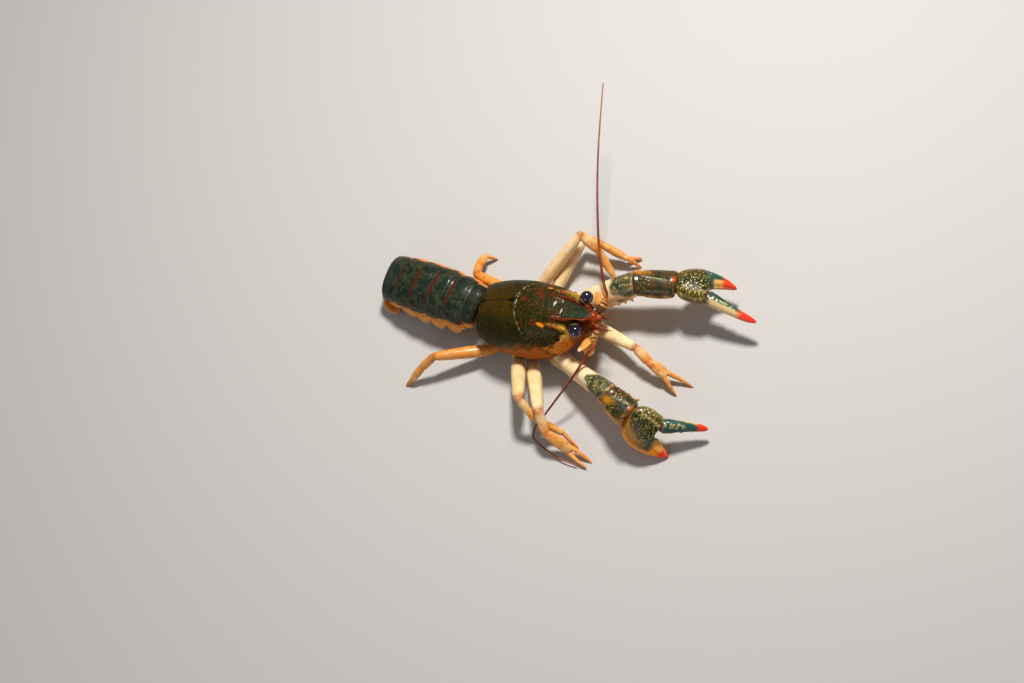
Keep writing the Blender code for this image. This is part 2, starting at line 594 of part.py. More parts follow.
# Eyes, feelers and mouthparts
FEELERS = {
    "left": ((32.7, 6.6, 13.1), (32.2, 9.0, 14.6), (30.6, 13.0, 16.6), (28.6, 19.0, 18.6), (26.4, 27.0, 20.6),
             (24.2, 36.0, 22.4), (22.2, 45.0, 23.6), (20.4, 54.0, 24.4), (18.6, 63.0, 24.8)),
    "right": ((32.9, -6.0, 12.8), (32.5, -8.0, 12.8), (31.2, -11.0, 12.0), (28.9, -15.8, 10.4),
              (25.8, -20.4, 7.8), (22.4, -24.6, 4.4), (20.0, -27.6, 2.0), (19.9, -29.6, 1.1),
              (22.2, -31.4, 0.9), (26.0, -33.2, 0.9), (30.0, -34.6, 0.9), (33.8, -35.2, 0.9)),
}
for side_name, side in (("left", 1), ("right", -1)):
    centre = lift(EYE_PLACES[side_name])
    stalk_root = [lift((x, side * y, z)) for x, y, z in STALK_ROOT]
    root_way = (stalk_root[1] - stalk_root[0]).normalized()
    way = (centre - stalk_root[1]).normalized()
    flat = centre - way * EYE_RADIUS * math.sin(math.radians(30))
    stalk = path_rings((stalk_root[1] + root_way * GAP, stalk_root[1] + root_way * (GAP + 0.35),
                        flat - way * GAP), (0, 0, 1), ((0.95, 0.95), (1.05, 1.05), (1.4, 1.4)), 10,
                       first=root_way, last=way)
    add_object("eyestalk_" + side_name, loft_mesh(stalk), "mouthparts")
    rings = []
    for angle in (-30, -8, 14, 36, 58, 76):
        a = math.radians(angle)
        place = centre + way * EYE_RADIUS * math.sin(a)
        radius = EYE_RADIUS * math.cos(a)
        rings.append(oval(place, way.orthogonal().normalized(),
                          way.cross(way.orthogonal().normalized()), radius, radius, 14))
    add_object("eye_" + side_name, loft_mesh(rings), "eye")

    feeler_root = [lift((x, side * y, z)) for x, y, z in FEELER_ROOT]
    root_way = (feeler_root[1] - feeler_root[0]).normalized()
    foot = feeler_root[1] + root_way * GAP
    tip = Vector(FEELERS[side_name][0])
    way = (tip - foot).normalized()
    base = path_rings((foot, foot + root_way * 0.6 + way * 0.2, tip - way * (GAP + 0.4), tip - way * GAP),
                      (0, 0, 1), ((1.1, 1.1), (1.15, 1.15), (0.9, 0.9), (0.8, 0.8)), 10,
                      first=root_way, last=way)
    whip_way = (Vector(FEELERS[side_name][1]) - tip).normalized()
    points = [tip, tip + way * 0.5 + whip_way * 0.2, tip + way * 0.75 + whip_way * 0.9]
    points += [Vector(p) for p in FEELERS[side_name][1:]]
    sizes = [(0.55 - 0.30 * k / (len(points) - 1),) * 2 for k in range(len(points))]
    add_object("antenna_" + side_name,
               loft_mesh(path_rings(points, (0.3, 0.1, 1.0), sizes, 6, first=way)), "feeler")
    scale_foot = foot + root_way * 0.77 + Vector((-0.25, 0.38 * side, 0.07))
    scale_way = Vector(SCALE_WAY) * Vector((1, side, 1))
    scale_side = (1.0, 0.3 * side, 0.3)
    blade = [scale_foot + scale_way * f for f in (0.0, 0.3, 0.7, 0.92, 1.0)]
    plate = path_rings(blade, scale_side, ((0.7, 0.5), (1.25, 0.42), (1.2, 0.38), (0.7, 0.32), (0.25, 0.25)), 8)
    pieces = [loft_mesh(base), loft_mesh(plate)]
    if side_name == "right":
        pieces.append(loft_mesh(path_rings(FEELER_LOBE, (1, 0, 0), [(r, r) for r in LOBE_SIZES], 10)))
    fuse("antenna_base_" + side_name, pieces, "mouthparts")

    # Small feeler pair in front of the head
    foot = lift((31.6, side * 1.3, 10.9)) + Vector((GAP + 0.05, 0, 0))
    way = Vector((0.95, 0.1 * side, 0.2)).normalized()
    stem = path_rings((foot, foot + way * 1.6), (0, 0, 1), ((0.75, 0.75), (0.6, 0.6)), 8,
                      first=(1, 0, 0.09))
    pieces = [loft_mesh(stem)]
    for spread, rise, length in ((0.35, 0.45, 5.0), (0.05, -0.05, 4.2)):
        whip_way = Vector((0.93, spread * side, rise)).normalized()
        whip = [foot + way * 1.1 + whip_way * length * f for f in (0.0, 0.2, 0.6, 1.0)]
        pieces.append(loft_mesh(path_rings(whip, (0, 0, 1), ((0.36, 0.36), (0.34, 0.34), (0.28, 0.28),
                                                             (0.16, 0.16)), 6)))
    fuse("antennule_" + side_name, pieces, "feeler")

    # Outer mouth leg, folded forward under the head
    joints = [lift((x, side * y, z)) for x, y, z in MOUTH_LEG]
    stations = ((0.0, 0.8, 0.9), (0.15, 1.1, 1.15), (0.6, 1.2, 1.2), (1.0, 1.0, 1.1), (1.5, 0.9, 1.0),
                (2.0, 0.45, 0.5))
    add_object("maxilliped_" + side_name,
               loft_mesh(limb_rings(joints, stations, (0, 1, 0), start_gap=GAP, count=8)), "leg")


# Walking legs
def leg_stations_upper(depth, front=False):
    if front:
        return ((0.0, 1.1, 1.1), (0.4, 1.4, 1.3, -0.1, 0.0), (0.85, 1.65, 1.35, -0.3, 0.0),
                (1.0, 1.75, 1.35, -0.4, 0.0), (1.25, 2.05, depth, -0.6, 0.0), (1.6, 1.8, depth * 0.95, -0.4, 0.0),
                (1.88, 1.35, depth * 0.8, -0.15, 0.0), (2.0, 1.0, 1.0))
    return ((0.0, 1.1, 1.1), (0.4, 1.3, 1.3), (0.85, 1.35, 1.35), (1.0, 1.3, 1.35),
            (1.25, 1.5, depth), (1.6, 1.4, depth * 0.95), (1.88, 1.15, depth * 0.75), (2.0, 0.95, 1.0))


LEG_LOWER = ((0.0, 0.85, 0.95), (0.4, 1.0, 1.2), (0.85, 0.95, 1.1), (1.0, 0.8, 0.9), (1.3, 0.9, 1.1),
             (1.8, 0.8, 1.0), (2.0, 0.62, 0.75), (2.45, 0.5, 0.6), (3.0, 0.3, 0.34))
HAND_LEG_LOWER = ((0.0, 1.0, 0.95), (0.4, 1.25, 1.15), (0.85, 1.2, 1.05), (1.0, 1.0, 0.9), (1.3, 1.35, 1.05),
                  (1.85, 1.5, 1.05), (2.0, 1.25, 0.8))


def pincer_finger(palm_start, palm_end, tip, across, shift):
    """Slim finger that grows out of the end of a small hand, shifted to one side of it."""
    way = (palm_end - palm_start).normalized()
    offset = across * shift
    points = (palm_end - way * 1.6 + offset * 0.6, palm_end - way * 0.2 + offset,
              (palm_end + offset).lerp(tip, 0.45) + offset * 0.15, tip)
    return loft_mesh(path_rings(points, across, ((0.4, 0.4), (0.62, 0.62), (0.5, 0.55), (0.28, 0.28)), 8,
                                last=(0, 0, -1) if tip.z == 0 else None))


for (side_name, number), marks in LEGS.items():
    side = 1 if side_name == "left" else -1
    root = leg_root(number, side)
    way = (Vector(marks[0]) - root).normalized()
    start = root + way * 0.9
    across = side_of((start, marks[1]))
    depth = {2: 1.35, 3: 1.8, 4: 1.9, 5: 1.55}[number]
    knee_plane = ((Vector(marks[1]) - Vector(marks[0])).normalized()
                  + (Vector(marks[2]) - Vector(marks[1])).normalized())
    upper = limb_rings((start, marks[0], marks[1]),
                       leg_stations_upper(depth, (side_name, number) == ("left", 2)), across,
                       end_plane=knee_plane)
    add_object("leg_%d_upper_%s" % (number, side_name), loft_mesh(upper), "leg")
    if (side_name, number) in PINCERS:
        lower = limb_rings(marks[1:4], HAND_LEG_LOWER, across, start_plane=knee_plane, end_gap=0.0)
        palm_start, palm_end, tip = (Vector(p) for p in marks[2:5])
        second = Vector(PINCERS[(side_name, number)])
        way = (palm_end - palm_start).normalized()
        hand_side = (across - way * way.dot(across)).normalized()
        shift = 0.75 if (tip - second).dot(hand_side) > 0 else -0.75
        pieces = [loft_mesh(lower), pincer_finger(palm_start, palm_end, tip, hand_side, shift),
                  pincer_finger(palm_start, palm_end, second, hand_side, -shift)]
    else:
        lower = limb_rings(marks[1:], LEG_LOWER, across, start_plane=knee_plane,
                           end_plane=(0, 0, -1), end_gap=0.0)
        pieces = [loft_mesh(lower)]
    fuse("leg_%d_lower_%s" % (number, side_name), pieces, "leg_tip")


# Claw arms and claws
for side_name, side in (("left", 1), ("right", -1)):
    root = leg_root(1, side)
    base_end, arm_end, wrist = (Vector(p) for p in ARMS[side_name])
    way = (base_end - root).normalized()
    start = root + way * 0.9
    across = side_of((root, wrist))
    arm_way = (arm_end - base_end).normalized()
    wrist_way = (wrist - arm_end).normalized()
    palm_way = Vector(CLAWS[side_name][0]).normalized()
    out = Vector(CLAWS[side_name][1])
    out = (out - palm_way * palm_way.dot(out)).normalized()
    normal = palm_way.cross(out)
    if normal.z < 0:
        normal = -normal
    planes = (way + arm_way, arm_way + wrist_way, wrist_way + palm_way)
    rings = limb_rings((start, base_end), ((0.0, 1.7, 1.65), (0.4, 1.95, 1.85), (1.0, 2.05, 1.9)), across,
                       end_plane=planes[0], count=12)
    add_object("cheliped_base_" + side_name, loft_mesh(rings), "arm")
    rings = limb_rings((base_end, arm_end), ARM_STATIONS[side_name], across, planes[0], planes[1], 12)
    pieces = [loft_mesh(rings)]
    arm_side = (across - arm_way * arm_way.dot(across)).normalized()
    arm_up = arm_side.cross(arm_way)
    if arm_up.z < 0:
        arm_up = -arm_up
    inward = -arm_side if arm_side.y * side > 0 else arm_side
    wider = 1.5 if side_name == "left" else 0.0
    for place, half_side, half_up in ARM_TEETH:
        foot = base_end.lerp(arm_end, place) + inward * (half_side + wider) - arm_up * half_up
        pieces.append(thorn_mesh(foot, inward * 0.8 - arm_up * 0.6 + arm_way * 0.5, 0.95, 0.42))
    foot = base_end.lerp(arm_end, 0.84) + arm_up * 3.0 + inward * 0.6
    pieces.append(thorn_mesh(foot, arm_up * 0.7 + arm_way * 0.8, 1.3, 0.5))
    fuse("cheliped_arm_" + side_name, pieces, "arm")
    rings = limb_rings((arm_end, wrist), WRIST_STATIONS[side_name], across, planes[1], planes[2], 12)
    pieces = [loft_mesh(rings)]
    for place, half_side, length in ((0.72, 2.9, 1.7), (0.4, 3.0, 0.9)):
        foot = arm_end.lerp(wrist, place) + inward * half_side
        pieces.append(thorn_mesh(foot, inward + wrist_way * 0.75, length, 0.6))
    fuse("cheliped_wrist_" + side_name, pieces, "wrist")
    scale = PALM_SCALE[side_name]
    rings = []
    for along, inner, outer, thick, droop in PALM[side_name]:
        centre = wrist + palm_way * along * scale + out * (inner + outer) / 2 * scale + normal * droop * scale
        ring = oval(centre, out, normal, (outer - inner) / 2 * scale, thick * scale, 14, 2.4, 0.5)
        if along < 3:
            slanted = []
            plane = planes[2]
            share = 1.0 if along < 1 else 0.55
            for point in ring:
                offset = point - wrist - palm_way * along * scale
                slanted.append(point - palm_way * (share * offset.dot(plane) / palm_way.dot(plane)))
            ring = slanted
        rings.append(ring)
    pieces = [loft_mesh(rings)]
    for along, inner in PALM_KNOBS:
        foot = wrist + palm_way * along * scale + out * inner * scale + normal * 0.5
        pieces.append(bead_mesh(foot, KNOB_RADIUS, 6))
        foot += out * 1.25 + normal * 1.25
        pieces.append(bead_mesh(foot + palm_way * 0.35, KNOB_RADIUS * 0.9, 6))
    fuse("claw_" + side_name, pieces, "claw")
    along, lateral, droop = FINGER_TIPS[side_name]
    hinge = Vector((8.25 * scale + GAP, -2.4 * scale, 0.0))
    tip = Vector((along, lateral, droop))
    finger = []
    sizes = []
    for t, bow, half, thick in ((0.0, 0.0, 1.85, 1.6), (0.12, 0.15, 1.85, 1.6), (0.35, 0.35, 1.55, 1.4),
                                (0.6, 0.40, 1.25, 1.15), (0.8, 0.30, 1.0, 0.9), (0.93, 0.12, 0.7, 0.6),
                                (1.0, 0.0, 0.35, 0.3)):
        place = hinge.lerp(tip, t)
        finger.append(wrist + palm_way * place.x + out * (place.y - bow) + normal * place.z)
        sizes.append((half, thick))
    add_object("claw_finger_" + side_name,
               loft_mesh(path_rings(finger, out, sizes, 10, 2.2, first=palm_way)), "finger")


# Origin under the middle of the animal's box, on the floor
low = Vector((1e9, 1e9, 1e9))
high = -low
parts = [o for o in bpy.context.scene.objects if o.type == "MESH"]
for part in parts:
    for vertex in part.data.vertices:
        for axis in range(3):
            low[axis] = min(low[axis], vertex.co[axis])
            high[axis] = max(high[axis], vertex.co[axis])
shift = Vector((-(low.x + high.x) / 2, -(low.y + high.y) / 2, -low.z))
for part in parts:
    part.data.transform(Matrix.Translation(shift))
    part.data.update()
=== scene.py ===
import math

import bmesh
import bpy
import numpy as np
from mathutils import Matrix, Vector


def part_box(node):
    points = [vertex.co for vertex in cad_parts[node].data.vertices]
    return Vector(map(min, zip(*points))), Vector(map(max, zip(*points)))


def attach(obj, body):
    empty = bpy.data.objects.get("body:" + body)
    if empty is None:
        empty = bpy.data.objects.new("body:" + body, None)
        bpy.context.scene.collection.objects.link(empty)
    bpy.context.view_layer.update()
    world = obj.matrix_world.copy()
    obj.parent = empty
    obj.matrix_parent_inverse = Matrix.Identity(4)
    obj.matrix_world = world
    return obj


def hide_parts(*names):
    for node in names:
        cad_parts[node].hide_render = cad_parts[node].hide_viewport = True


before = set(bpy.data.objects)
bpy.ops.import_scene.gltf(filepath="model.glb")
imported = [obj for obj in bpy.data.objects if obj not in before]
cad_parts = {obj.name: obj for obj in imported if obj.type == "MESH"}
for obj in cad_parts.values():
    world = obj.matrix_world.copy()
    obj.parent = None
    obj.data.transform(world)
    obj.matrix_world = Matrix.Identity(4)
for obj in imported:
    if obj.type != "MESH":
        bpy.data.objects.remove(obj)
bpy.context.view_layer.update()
scene = bpy.context.scene

# Everything below is in millimetres on the animal's own ground plan: it faces +X, its left is +Y.
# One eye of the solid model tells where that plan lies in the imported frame.
mm = 0.001
eyeMiddle = Vector((28.9655, 4.8075, 16.9826))
eyeLow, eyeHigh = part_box("eye_left")
planShift = (Vector(eyeLow) + Vector(eyeHigh)) / 2 - eyeMiddle * mm
planShift.z = 0.0


# Camera, floor and light

view = {"azimuth": 46.5, "elevation": 60.1, "roll": -33.0, "distance": 643.0, "aim": (5.7, -4.0, 0.0),
        "lens": 85.0, "sensor": 36.0}


def cameraAxes():
    a, e, r = (math.radians(view[k]) for k in ("azimuth", "elevation", "roll"))
    back = Vector((math.sin(a) * math.cos(e), -math.cos(a) * math.cos(e), math.sin(e)))
    right = Vector((math.cos(a), math.sin(a), 0.0))
    up = back.cross(right)
    return (right * math.cos(r) + up * math.sin(r), up * math.cos(r) - right * math.sin(r), back)


def worldPlace(point):
    return Vector(point) * mm + planShift


rightWay, upWay, backWay = cameraAxes()
lens = bpy.data.cameras.new("photoCamera")
lens.lens, lens.sensor_width = view["lens"], view["sensor"]
lens.clip_start, lens.clip_end = 0.01, 10.0
camera = bpy.data.objects.new("photoCamera", lens)
scene.collection.objects.link(camera)
turn = Matrix((rightWay, upWay, backWay)).transposed().to_4x4()
camera.matrix_world = Matrix.Translation(worldPlace(Vector(view["aim"]) + backWay
                                                    * view["distance"])) @ turn
scene.camera = camera

studio = {
    "key": {"way": upWay * 0.72 + backWay * 0.66 + rightWay * 0.02, "distance": 420.0, "size": 70.0,
            "power": 2.15},
    "fill": {"way": backWay * 0.7 - upWay * 0.75 - rightWay * 0.5, "distance": 500.0, "size": 300.0,
             "power": 0.4},
    "side": {"way": rightWay * 0.9 - upWay * 0.2 + backWay * 0.3, "distance": 480.0, "size": 240.0,
             "power": 0.2},
}
for name, light in studio.items():
    lamp = bpy.data.lights.new(name, "AREA")
    lamp.shape = "DISK"
    lamp.size = light["size"] * mm
    lamp.energy = light["power"]
    lamp.color = (1.0, 0.965, 0.92) if name == "key" else (0.93, 0.965, 1.0)
    holder = bpy.data.objects.new(name, lamp)
    way = light["way"].normalized()
    holder.matrix_world = (Matrix.Translation(worldPlace(way * light["distance"]))
                           @ way.to_track_quat("Z", "Y").to_matrix().to_4x4())
    scene.collection.objects.link(holder)
world = bpy.data.worlds.new("studio")
world.use_nodes = True
world.node_tree.nodes["Background"].inputs["Color"].default_value = (0.86, 0.88, 0.92, 1.0)
world.node_tree.nodes["Background"].inputs["Strength"].default_value = 0.22
scene.world = world
scene.view_settings.view_transform = "Standard"

floorMesh = bmesh.new()
bmesh.ops.create_grid(floorMesh, x_segments=1, y_segments=1, size=1.5)
floorData = bpy.data.meshes.new("floor")
floorMesh.to_mesh(floorData)
floorMesh.free()
floor = bpy.data.objects.new("floor", floorData)
scene.collection.objects.link(floor)
paper = bpy.data.materials.new("paleFloor")
paper.use_nodes = True
paperShader = paper.node_tree.nodes["Principled BSDF"]
paperShader.inputs["Base Color"].default_value = (0.52, 0.51, 0.49, 1.0)
paperShader.inputs["Roughness"].default_value = 0.75
floorData.materials.append(paper)
print("camera, floor and light are in place")


# Shader groups for a wet shell

def newGroup(name, takes, gives):
    group = bpy.data.node_groups.new(name, "ShaderNodeTree")
    for label, value in takes.items():
        group.interface.new_socket(label, in_out="INPUT",
                                   socket_type="NodeSocketFloat").default_value = value
    for label in gives:
        group.interface.new_socket(label, in_out="OUTPUT", socket_type="NodeSocketFloat")
    return group, group.nodes.new("NodeGroupInput").outputs, group.nodes.new("NodeGroupOutput")


def feed(tree, node, **inputs):
    # Each input of a node takes a plain value or another node's output; _ stands for a space
    for label, value in inputs.items():
        socket = node.inputs[int(label[1:]) if label[1:].isdigit() else label.replace("_", " ")]
        if isinstance(value, bpy.types.NodeSocket):
            tree.links.new(value, socket)
        else:
            socket.default_value = value
    return node


def mathNode(tree, operation, first, second, clamp=False):
    node = feed(tree, tree.nodes.new("ShaderNodeMath"), n0=first, n1=second)
    node.operation, node.use_clamp = operation, clamp
    return node.outputs[0]


def rampBetween(tree, value, low, high):
    node = feed(tree, tree.nodes.new("ShaderNodeMapRange"), Value=value, From_Min=low, From_Max=high)
    node.interpolation_type = "SMOOTHSTEP"
    return node.outputs["Result"]


def texture(tree, kind, **inputs):
    coords = tree.nodes.new("ShaderNodeTexCoord")
    return feed(tree, tree.nodes.new("ShaderNodeTex" + kind), Vector=coords.outputs["Object"], **inputs)


# Cloudy patches: size in millimetres, and the two noise values between which a patch fades in
mottle, takes, gives = newGroup("mottle", {"Size": 2.0, "Low": 0.45, "High": 0.6}, ("Mask",))
cloud = texture(mottle, "Noise", Scale=mathNode(mottle, "DIVIDE", 1000.0, takes["Size"]), Detail=4.0,
                Roughness=0.62)
feed(mottle, gives, Mask=rampBetween(mottle, cloud.outputs["Fac"], takes["Low"], takes["High"]))

# Small round specks: size of a cell, share of it that the speck fills, and share of cells that have one
specks, takes, gives = newGroup("specks", {"Size": 0.8, "Fill": 0.3, "Share": 0.5}, ("Mask",))
cells = texture(specks, "Voronoi", Scale=mathNode(specks, "DIVIDE", 1000.0, takes["Size"]))
split = feed(specks, specks.nodes.new("ShaderNodeSeparateColor"), Color=cells.outputs["Color"])
chosen = mathNode(specks, "LESS_THAN", split.outputs["Red"], takes["Share"])
uneven = mathNode(specks, "ADD", mathNode(specks, "MULTIPLY", split.outputs["Green"], 0.8), 0.5)
reach = mathNode(specks, "MULTIPLY", takes["Fill"], uneven)
outside = rampBetween(specks, cells.outputs["Distance"], mathNode(specks, "MULTIPLY", reach, 0.55), reach)
inside = mathNode(specks, "SUBTRACT", 1.0, outside)
feed(specks, gives, Mask=mathNode(specks, "MULTIPLY", chosen, inside))

# Shell relief: fine pits in rows and a soft unevenness, with a worn or wet change of gloss
relief, takes, gives = newGroup("shellRelief",
                                {"Pit Size": 0.45, "Pit Depth": 0.5, "Wave": 0.4, "Gloss": 0.3},
                                ("Height", "Roughness"))
pits = texture(relief, "Voronoi", Scale=mathNode(relief, "DIVIDE", 1000.0, takes["Pit Size"]))
pits.feature = "SMOOTH_F1"
pitDepth = mathNode(relief, "MULTIPLY", rampBetween(relief, pits.outputs["Distance"], 0.02, 0.34),
                    takes["Pit Depth"])
swell = texture(relief, "Noise", Scale=900.0, Detail=5.0)
wave = mathNode(relief, "MULTIPLY", swell.outputs["Fac"], takes["Wave"])
film = texture(relief, "Noise", Scale=420.0, Detail=3.0)
change = mathNode(relief, "MULTIPLY", mathNode(relief, "SUBTRACT", film.outputs["Fac"], 0.5), 0.3)
feed(relief, gives, Height=mathNode(relief, "ADD", pitDepth, wave),
     Roughness=mathNode(relief, "ADD", change, takes["Gloss"], clamp=True))
patterns = {"mottle": (mottle, ("Size", "Low", "High")), "specks": (specks, ("Size", "Fill", "Share"))}


def groupNode(tree, group, values):
    node = tree.nodes.new("ShaderNodeGroup")
    node.node_tree = group
    for label, value in values.items():
        node.inputs[label].default_value = value
    return node


def layerMask(tree, area, pattern, measures, strength):
    # Mask of one layer of paint: a painted area, cloudy patches or specks, or both multiplied together
    value = None
    if area:
        node = tree.nodes.new("ShaderNodeAttribute")
        node.attribute_name = area
        value = node.outputs["Fac"]
    if pattern:
        group, labels = patterns[pattern]
        spread = groupNode(tree, group, dict(zip(labels, measures))).outputs["Mask"]
        value = mathNode(tree, "MULTIPLY", value, spread) if area else spread
    return mathNode(tree, "MULTIPLY", value, strength, clamp=True)


def mixColours(tree, mask, first, second):
    mix = tree.nodes.new("ShaderNodeMix")
    mix.data_type = "RGBA"
    feed(tree, mix, Factor=mask, A=(*first, 1.0) if isinstance(first, tuple) else first, B=(*second, 1.0))
    return mix.outputs["Result"]


def bumpNode(tree, height, strength, distance):
    node = feed(tree, tree.nodes.new("ShaderNodeBump"), Height=height, Strength=strength,
                Distance=distance)
    return node.outputs["Normal"]


def newMaterial(name):
    made = bpy.data.materials.new(name)
    made.use_nodes = True
    return made, made.node_tree, made.node_tree.nodes["Principled BSDF"]


def shellMaterial(name, recipe):
    # A layer is (painted area, pattern, its three measures, colour, strength), and lies over the ones before it
    made, tree, shader = newMaterial(name)
    colour = recipe["colour"]
    for area, pattern, measures, over, strength in recipe["layers"]:
        colour = mixColours(tree, layerMask(tree, area, pattern, measures, strength), colour, over)
    pit, depth, wave, gloss = recipe["relief"]
    surface = groupNode(tree, relief,
                        {"Pit Size": pit, "Pit Depth": depth, "Wave": wave, "Gloss": gloss}).outputs
    feed(tree, shader, Base_Color=colour, Roughness=surface["Roughness"],
         Normal=bumpNode(tree, surface["Height"], recipe.get("bump", 0.35), 0.00012),
         Specular_IOR_Level=recipe.get("shine", 0.28), Coat_Weight=recipe["coat"] * 0.6,
         Coat_Roughness=0.1,
         Subsurface_Weight=recipe.get("flesh", 0.0), Subsurface_Radius=(1.0, 0.45, 0.2),
         Subsurface_Scale=0.0006)
    return made


# Shape helpers

bodyPitch = math.radians(5.0)
pitchPivot = 6.0
pitchDrop = 1.0


def lift(point):
    # Body frame to standing frame: the head end is raised a little
    x, y, z = point
    z = z - pitchPivot
    return Vector((x * math.cos(bodyPitch) - z * math.sin(bodyPitch), y,
                   x * math.sin(bodyPitch) + z * math.cos(bodyPitch) + pitchPivot - pitchDrop))


def unlift(points):
    # Standing frame to body frame, for an array of points
    x, y, z = points[:, 0], points[:, 1], points[:, 2] - pitchPivot + pitchDrop
    return (x * math.cos(bodyPitch) + z * math.sin(bodyPitch), y,
            z * math.cos(bodyPitch) - x * math.sin(bodyPitch) + pitchPivot)


def between(t, start, end, gap, slopeStart, slopeEnd):
    # Smooth way from start to end with the given slopes
    return ((2 * t ** 3 - 3 * t ** 2 + 1) * start + (t ** 3 - 2 * t ** 2 + t) * gap * slopeStart
            + (3 * t ** 2 - 2 * t ** 3) * end + (t ** 3 - t ** 2) * gap * slopeEnd)


def curveValue(table, x):
    # Smooth value at x of a short table of (x, value) pairs
    if x <= table[0][0]:
        return table[0][1]
    if x >= table[-1][0]:
        return table[-1][1]
    for i in range(len(table) - 1):
        (x0, v0), (x1, v1) = table[i:i + 2]
        if x0 <= x <= x1:
            before, after = table[max(i - 1, 0)], table[min(i + 2, len(table) - 1)]
            span = x1 - x0
            slope0 = (v1 - before[1]) / (x1 - before[0]) * span
            slope1 = (after[1] - v0) / (after[0] - x0) * span
            return between((x - x0) / span, v0, v1, 1.0, slope0, slope1)


def curveValues(table, xs):
    # The same for an array, by way of a fine table
    steps = np.linspace(table[0][0], table[-1][0], 300)
    return np.interp(xs, steps, [curveValue(table, s) for s in steps])


def bell(values, middle, width):
    return np.exp(-((values - middle) / width) ** 2)


def fade(low, high, values):
    t = np.clip((values - low) / (high - low), 0.0, 1.0)
    return t * t * (3 - 2 * t)


def finerRings(rings, times):
    # More rings between the given ones, on a smooth curve through them
    rows = np.array([[tuple(p) for p in ring] for ring in rings])
    gaps = np.maximum(np.linalg.norm(np.diff(rows.mean(axis=1), axis=0), axis=1),
                      0.35 * np.linalg.norm(np.diff(rows, axis=0), axis=2).max(axis=1))
    gaps = np.maximum(gaps, 1e-4)
    slopes = []
    for i in range(len(rows)):
        ahead = (rows[i + 1] - rows[i]) / gaps[i] if i < len(gaps) else None
        behind = (rows[i] - rows[i - 1]) / gaps[i - 1] if i else None
        if ahead is None:
            slopes.append(behind)
        elif behind is None:
            slopes.append(ahead)
        else:
            slopes.append((ahead * gaps[i - 1] + behind * gaps[i]) / (gaps[i] + gaps[i - 1]))
    out = []
    for i in range(len(gaps)):
        for k in range(times):
            out.append(between(k / times, rows[i], rows[i + 1], gaps[i], slopes[i], slopes[i + 1]))
    out.append(rows[-1])
    return out


def growTube(rings, closedEnds=True):
    # A grid rolled into a tube through the rings, with its ends closed
    mesh = bmesh.new()
    rows, around = len(rings), len(rings[0])
    bmesh.ops.create_grid(mesh, x_segments=rows - 1, y_segments=around, size=1.0)
    for vertex in mesh.verts:
        i = round((vertex.co.x + 1) / 2 * (rows - 1))
        j = round((vertex.co.y + 1) / 2 * around)
        vertex.co = Vector(rings[i][j % around])
    bmesh.ops.remove_doubles(mesh, verts=mesh.verts, dist=1e-5)
    if closedEnds:
        ends = bmesh.ops.holes_fill(mesh, edges=[e for e in mesh.edges if e.is_boundary],
                                    sides=0)["faces"]
        bmesh.ops.poke(mesh, faces=ends)
    bmesh.ops.recalc_face_normals(mesh, faces=mesh.faces)
    return mesh


def tube(rings, times):
    return growTube(finerRings(rings, times))


def bead(centre, radius, stretch=None, sides=14, rows=9):
    # Rounded knob; stretch is a vector along which it is drawn out
    mesh = bmesh.new()
    bmesh.ops.create_uvsphere(mesh, u_segments=sides, v_segments=rows, radius=radius)
    if stretch is not None:
        axis = Vector(stretch)
        turn = Vector((0, 0, 1)).rotation_difference(axis.normalized()).to_matrix().to_4x4()
        bmesh.ops.transform(mesh, matrix=turn @ Matrix.Diagonal((1, 1, axis.length, 1)), verts=mesh.verts)
    bmesh.ops.translate(mesh, vec=Vector(centre), verts=mesh.verts)
    return mesh


def squareTo(hint, way):
    # The part of a hint that stands square to a way
    return (Vector(hint) - way * way.dot(Vector(hint))).normalized()


def upright(side, way):
    up = side.cross(way)
    return -up if up.z < 0 else up


def oval(centre, side, up, halfSide, halfUp, count, power=2.0):
    points = []
    for k in range(count):
        angle = 2 * math.pi * (k + 0.5) / count
        c, s = math.cos(angle), math.sin(angle)
        a = math.copysign(abs(c) ** (2 / power), c) * halfSide
        b = math.copysign(abs(s) ** (2 / power), s) * halfUp
        points.append(centre + side * a + up * b)
    return points


def slideFor(offset, t, way, start, end):
    # Slide along the way that turns a square ring, t of the way along, to fit its two end planes
    return -(1 - t) * offset.dot(start) / way.dot(start) - t * offset.dot(end) / way.dot(end)


def limbRings(joints, stations, sideHint, startPlane=None, endPlane=None, count=28, power=2.2):
    # Rings along a jointed limb. A station is (stop, half side, half up[, shift to the side]);
    # stop 0 is the first joint, 1 the second and so on
    joints = [Vector(j) for j in joints]
    runs = [(b - a) for a, b in zip(joints, joints[1:])]
    ways = [r.normalized() for r in runs]
    planes = [Vector(startPlane).normalized() if startPlane else ways[0]]
    planes += [(a + b).normalized() for a, b in zip(ways, ways[1:])]
    planes.append(Vector(endPlane).normalized() if endPlane else ways[-1])
    rings = []
    last = len(runs) - 1
    for stop, halfSide, halfUp, *shift in stations:
        i = min(int(stop), last)
        t = stop - i
        way, length = ways[i], runs[i].length
        side = squareTo(sideHint, way)
        up = side.cross(way)
        ring = []
        for point in oval(Vector(), side, up, halfSide, halfUp, count, power):
            point = point + side * (shift[0] if shift else 0.0)
            ring.append(joints[i] + way
                        * (max(t, 0.0) * length + slideFor(point, t, way, planes[i], planes[i + 1]))
                        + point)
        rings.append(ring)
    return rings


def sideOf(joints):
    run = Vector(joints[-1]) - Vector(joints[0])
    run.z = 0
    return run.normalized().cross(Vector((0, 0, 1)))


